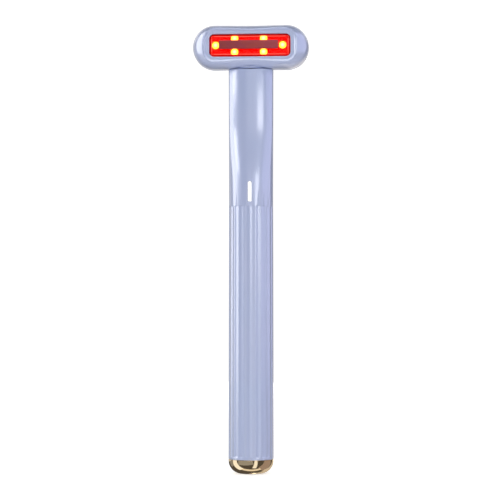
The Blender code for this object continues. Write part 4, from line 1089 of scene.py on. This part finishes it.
gloss = add(tree, "MapRange", {"Value": weave.outputs["Value"], "To Min": 0.22, "To Max": 0.3})
relief = add(tree, "Bump", {"Height": weave.outputs["Value"], "Strength": 0.15, "Distance": yarn_relief})
connect(tree, shader, {
    "Base Color": tint.outputs[2], "Roughness": gloss.outputs["Result"],
    "Normal": relief.outputs["Normal"],
})
dress(solder_mask, "main_board", "charge_board", "led_board")

# Glass-filled nylon, moulded grey: a dull skin with short fibres that show as paler flecks.
dress(grained(
    "grey_glass_filled_nylon", ("#7C7F84", "#90939A"), 0.5 * mm, (0.5, 0.65), (1, 1, 0.3), 0.15
), "chassis")
# Acetal, machined and moulded white: waxy, smooth, with a faint turned grain round it.
dress(grained(
    "white_acetal", ("#E6E6E0", "#F2F2EE"), 0.3 * mm, (0.28, 0.4), (1, 1, 3), 0.05
), "swivel_bushing", "switch_plunger")
# Nylon connector body, moulded off-white: a slightly grainy satin.
dress(grained(
    "off_white_nylon_plug", ("#E4DFD0", "#EEEADF"), 0.2 * mm, (0.4, 0.5), bump=0.1
), "lead_plug")
# Black epoxy package, transfer-moulded: a fine matt sparkle off its spark-eroded mould.
dress(grained(
    "black_moulded_epoxy", ("#1B1B1E", "#2A2A2D"), 0.08 * mm, (0.45, 0.65), bump=0.3
), "controller_chip", "tact_switch", "usb_tongue")
# Stamped and drawn nickel-plated steel: bright, with fine lines along its rolling direction.
dress(grained(
    "nickel_plated_steel", ("#B9B6B0", "#D2CFC9"), 0.15 * mm, (0.18, 0.32), (1, 1, 0.08), 0.08, 1.0
), "usb_socket", "battery_tab_bottom", "battery_tab_top", "motor_case")
# Spring steel, rolled and tempered: a warm grey sheen with a faint straw bloom.
dress(grained(
    "tempered_spring_steel", ("#8F8A84", "#A89F92"), 0.8 * mm, (0.25, 0.38), (1, 1, 1), 0.05, 1.0
), "wave_washer", "retaining_clip")
# Zinc-plated screws and a ground motor shaft: smooth, with turning lines round the axis.
dress(grained(
    "turned_zinc_plated_steel", ("#A9ACB0", "#C6C9CC"), 0.1 * mm, (0.2, 0.3), (0.2, 1, 0.2), 0.1, 1.0
), "board_screw_lower", "board_screw_upper", "motor_shaft")
# Brass, turned: yellow metal with fine rings from the tool and a faint tarnish.
dress(grained(
    "turned_brass", ("#B08A48", "#D0AC66"), 0.12 * mm, (0.22, 0.36), (0.15, 0.15, 1), 0.12, 1.0
), "swivel_shaft", "motor_weight")
# Moulded rubber: matt black with a soft bloom.
dress(grained(
    "black_moulded_rubber", ("#202022", "#313133"), 0.4 * mm, (0.6, 0.8), bump=0.2
), "end_cap_seal", "motor_boot")
# Heat-shrunk film round the cell: glossy blue, drawn into faint ripples along its length.
dress(grained(
    "blue_shrink_film", ("#2A55A0", "#3463B4"), 1.5 * mm, (0.15, 0.3), (1, 1, 0.15), 0.3
), "battery_cell")
# Wire sleeve, extruded: satin black and red, with a faint drag along the wire.
for sleeve, shades, leads in (
    ("black_wire_sleeve", ("#1C1C1D", "#2B2B2D"), ("battery_lead_negative", "head_lead")),
    ("red_wire_sleeve", ("#B01414", "#C82020"), ("battery_lead_positive", "charge_lead")),
):
    dress(grained(sleeve, shades, 0.3 * mm, (0.35, 0.5), (1, 1, 0.2), 0.1), *leads)
# Clear epoxy over the indicator's pale phosphor: smooth, with a milky depth.
dress(grained(
    "milky_epoxy", ("#F2EDC8", "#FBF8E2"), 0.5 * mm, (0.12, 0.2), bump=0.02
), "indicator_led")


# Floor and backdrop
# A pale studio bowl of white paper, open at the top: a flat round floor that curves up into a
# wall all the way round. Its sizes are in metres.

floor_radius = 2.2
sweep_radius = 1.0
sweep_steps = 12
sweep_segments = 96
wall_height = 3.5
lid_band = 0.01
floor_rings = (0.3, 1.2, floor_radius)
profile = [(radius, 0) for radius in floor_rings]
for turn in quarter_turn(sweep_steps)[1:]:
    profile.append((
        floor_radius + sweep_radius * math.sin(turn), sweep_radius - sweep_radius * math.cos(turn)
    ))
profile.append((floor_radius + sweep_radius, wall_height))
sweep = turned(profile, sweep_segments)
lid = [face for face in sweep.faces if face.calc_center_median()[2] > wall_height - lid_band]
bmesh.ops.delete(sweep, geom=lid, context="FACES")
bmesh.ops.reverse_faces(sweep, faces=sweep.faces)
studio_sweep = as_object("studio_sweep", sweep)
studio_sweep.data.shade_smooth()

# Matt white paper, rolled and coated: even, with hardly any cloudiness, and nearly burnt out.
paper_cloud = 20 * mm
white_paper, tree, shader = start_material("white_paper")
place = add(tree, "TexCoord")
fibre = add(tree, "TexNoise", {"Vector": place.outputs["Object"], "Scale": 1 / paper_cloud})
tint = add(tree, "Mix", {
    0: fibre.outputs["Fac"], 6: linear("#F6F6F6"), 7: linear("#FAFAFA"),
}, data_type="RGBA")
connect(tree, shader, {
    "Base Color": tint.outputs[2], "Emission Color": linear("#FFFFFF"), "Emission Strength": 0.55,
    "Roughness": 0.9, "Specular IOR Level": 0.0,
})
studio_sweep.data.materials.append(white_paper)


# Lights
# Soft studio light. The air, two fill boxes and a low warm one light the colour evenly and show in
# no reflection. The other boxes stand in a dim room and give only the long soft highlights.

world = bpy.data.worlds.new("studio_air")
bpy.context.scene.world = world
world.use_nodes = True
connect(world.node_tree, world.node_tree.nodes["Background"], {
    "Color": linear("#FFFFFF"), "Strength": 0.56,
})
world.cycles_visibility.glossy = False
studio_sweep.visible_glossy = False
studio_sweep.visible_diffuse = False
studio_sweep.visible_shadow = False

room_radius = 6.0
room = bmesh.new()
bmesh.ops.create_uvsphere(room, u_segments=24, v_segments=12, radius=room_radius)
bmesh.ops.reverse_faces(room, faces=room.faces)
dim_room = as_object("dim_room", room)

# Matt paint in a dim room: only a dull warm grey that the gloss picks up between the boxes.
dim_paint, tree, shader = start_material("dim_studio_paint")
connect(tree, shader, {
    "Base Color": linear("#000000"), "Specular IOR Level": 0.0,
    "Emission Color": linear("#FFF0E0"), "Emission Strength": 0.1,
})
dim_paint.cycles.emission_sampling = "NONE"
dim_room.data.materials.append(dim_paint)
for rays in ("camera", "diffuse", "transmission", "volume_scatter", "shadow"):
    setattr(dim_room, f"visible_{rays}", False)

box_distance = 0.9
wand_middle = Vector((0, 0, 90 * mm))


def softbox(name, azimuth, elevation, half_across, half_up, radiance, colour="#FFFFFF", fill=False):
    """A soft light round the wand, its place and half sizes in degrees, from the camera's side."""
    light = bpy.data.lights.new(name, "AREA")
    light.shape = "RECTANGLE"
    light.size = 2 * box_distance * math.tan(math.radians(half_across))
    light.size_y = 2 * box_distance * math.tan(math.radians(half_up))
    light.energy = radiance * math.pi * light.size * light.size_y
    light.color = linear(colour)[:3]
    lamp = bpy.data.objects.new(name, light)
    bpy.context.scene.collection.objects.link(lamp)
    turn, rise = camera_azimuth + math.radians(azimuth), math.radians(elevation)
    away = Vector((math.sin(turn) * math.cos(rise), -math.cos(turn) * math.cos(rise), math.sin(rise)))
    lamp.location = wand_middle + box_distance * away
    lamp.rotation_euler = (-away).to_track_quat("-Z", "Y").to_euler()
    lamp.visible_diffuse = fill
    lamp.visible_glossy = not fill


softbox("fill_box", -4, -12, 15, 15, 3.4, fill=True)
softbox("left_box", -91, 22, 18, 27, 4.8)
softbox("left_flank", -63, 16, 12, 22, 0.9, "#E4ECFF")
softbox("crest_box", -68, 16.5, 7, 3, 9.5)
softbox("left_low_box", -92, -33, 15, 28, 1.15)
softbox("left_back_box", -124, 0, 14, 30, 0.22)
softbox("right_box", 31, 8, 11, 8, 6.6)
softbox("right_low_box", 25, -34, 8, 30, 1.1)
softbox("front_box", 0, 10, 20, 14, 0.75)
softbox("front_low_box", -30, -22, 38, 17, 0.28)
softbox("right_flank", 87, 20, 31, 25, 2.2, "#DCD8FF")
softbox("right_low_flank", 95, -34, 26, 28, 0.3, "#FFE0D8")
softbox("top_box", 5, 68, 40, 24, 4.0)
softbox("under_box", 0, -86, 30, 9, 0.9, "#FFF4E4")
softbox("low_spot", 175, -50, 2, 4, 3.0, "#FFF8E8")
softbox("back_top_box", 180, 38, 50, 16, 0.55)
softbox("back_fill", 176, 10, 15, 15, 1.6, fill=True)
softbox("back_box", 190, 12, 42, 24, 0.6)
softbox("back_low_box", 155, -30, 20, 25, 0.6, "#FFF4E4")
softbox("floor_fill", 0, -70, 22, 22, 1.4, "#FFE4C0", fill=True)
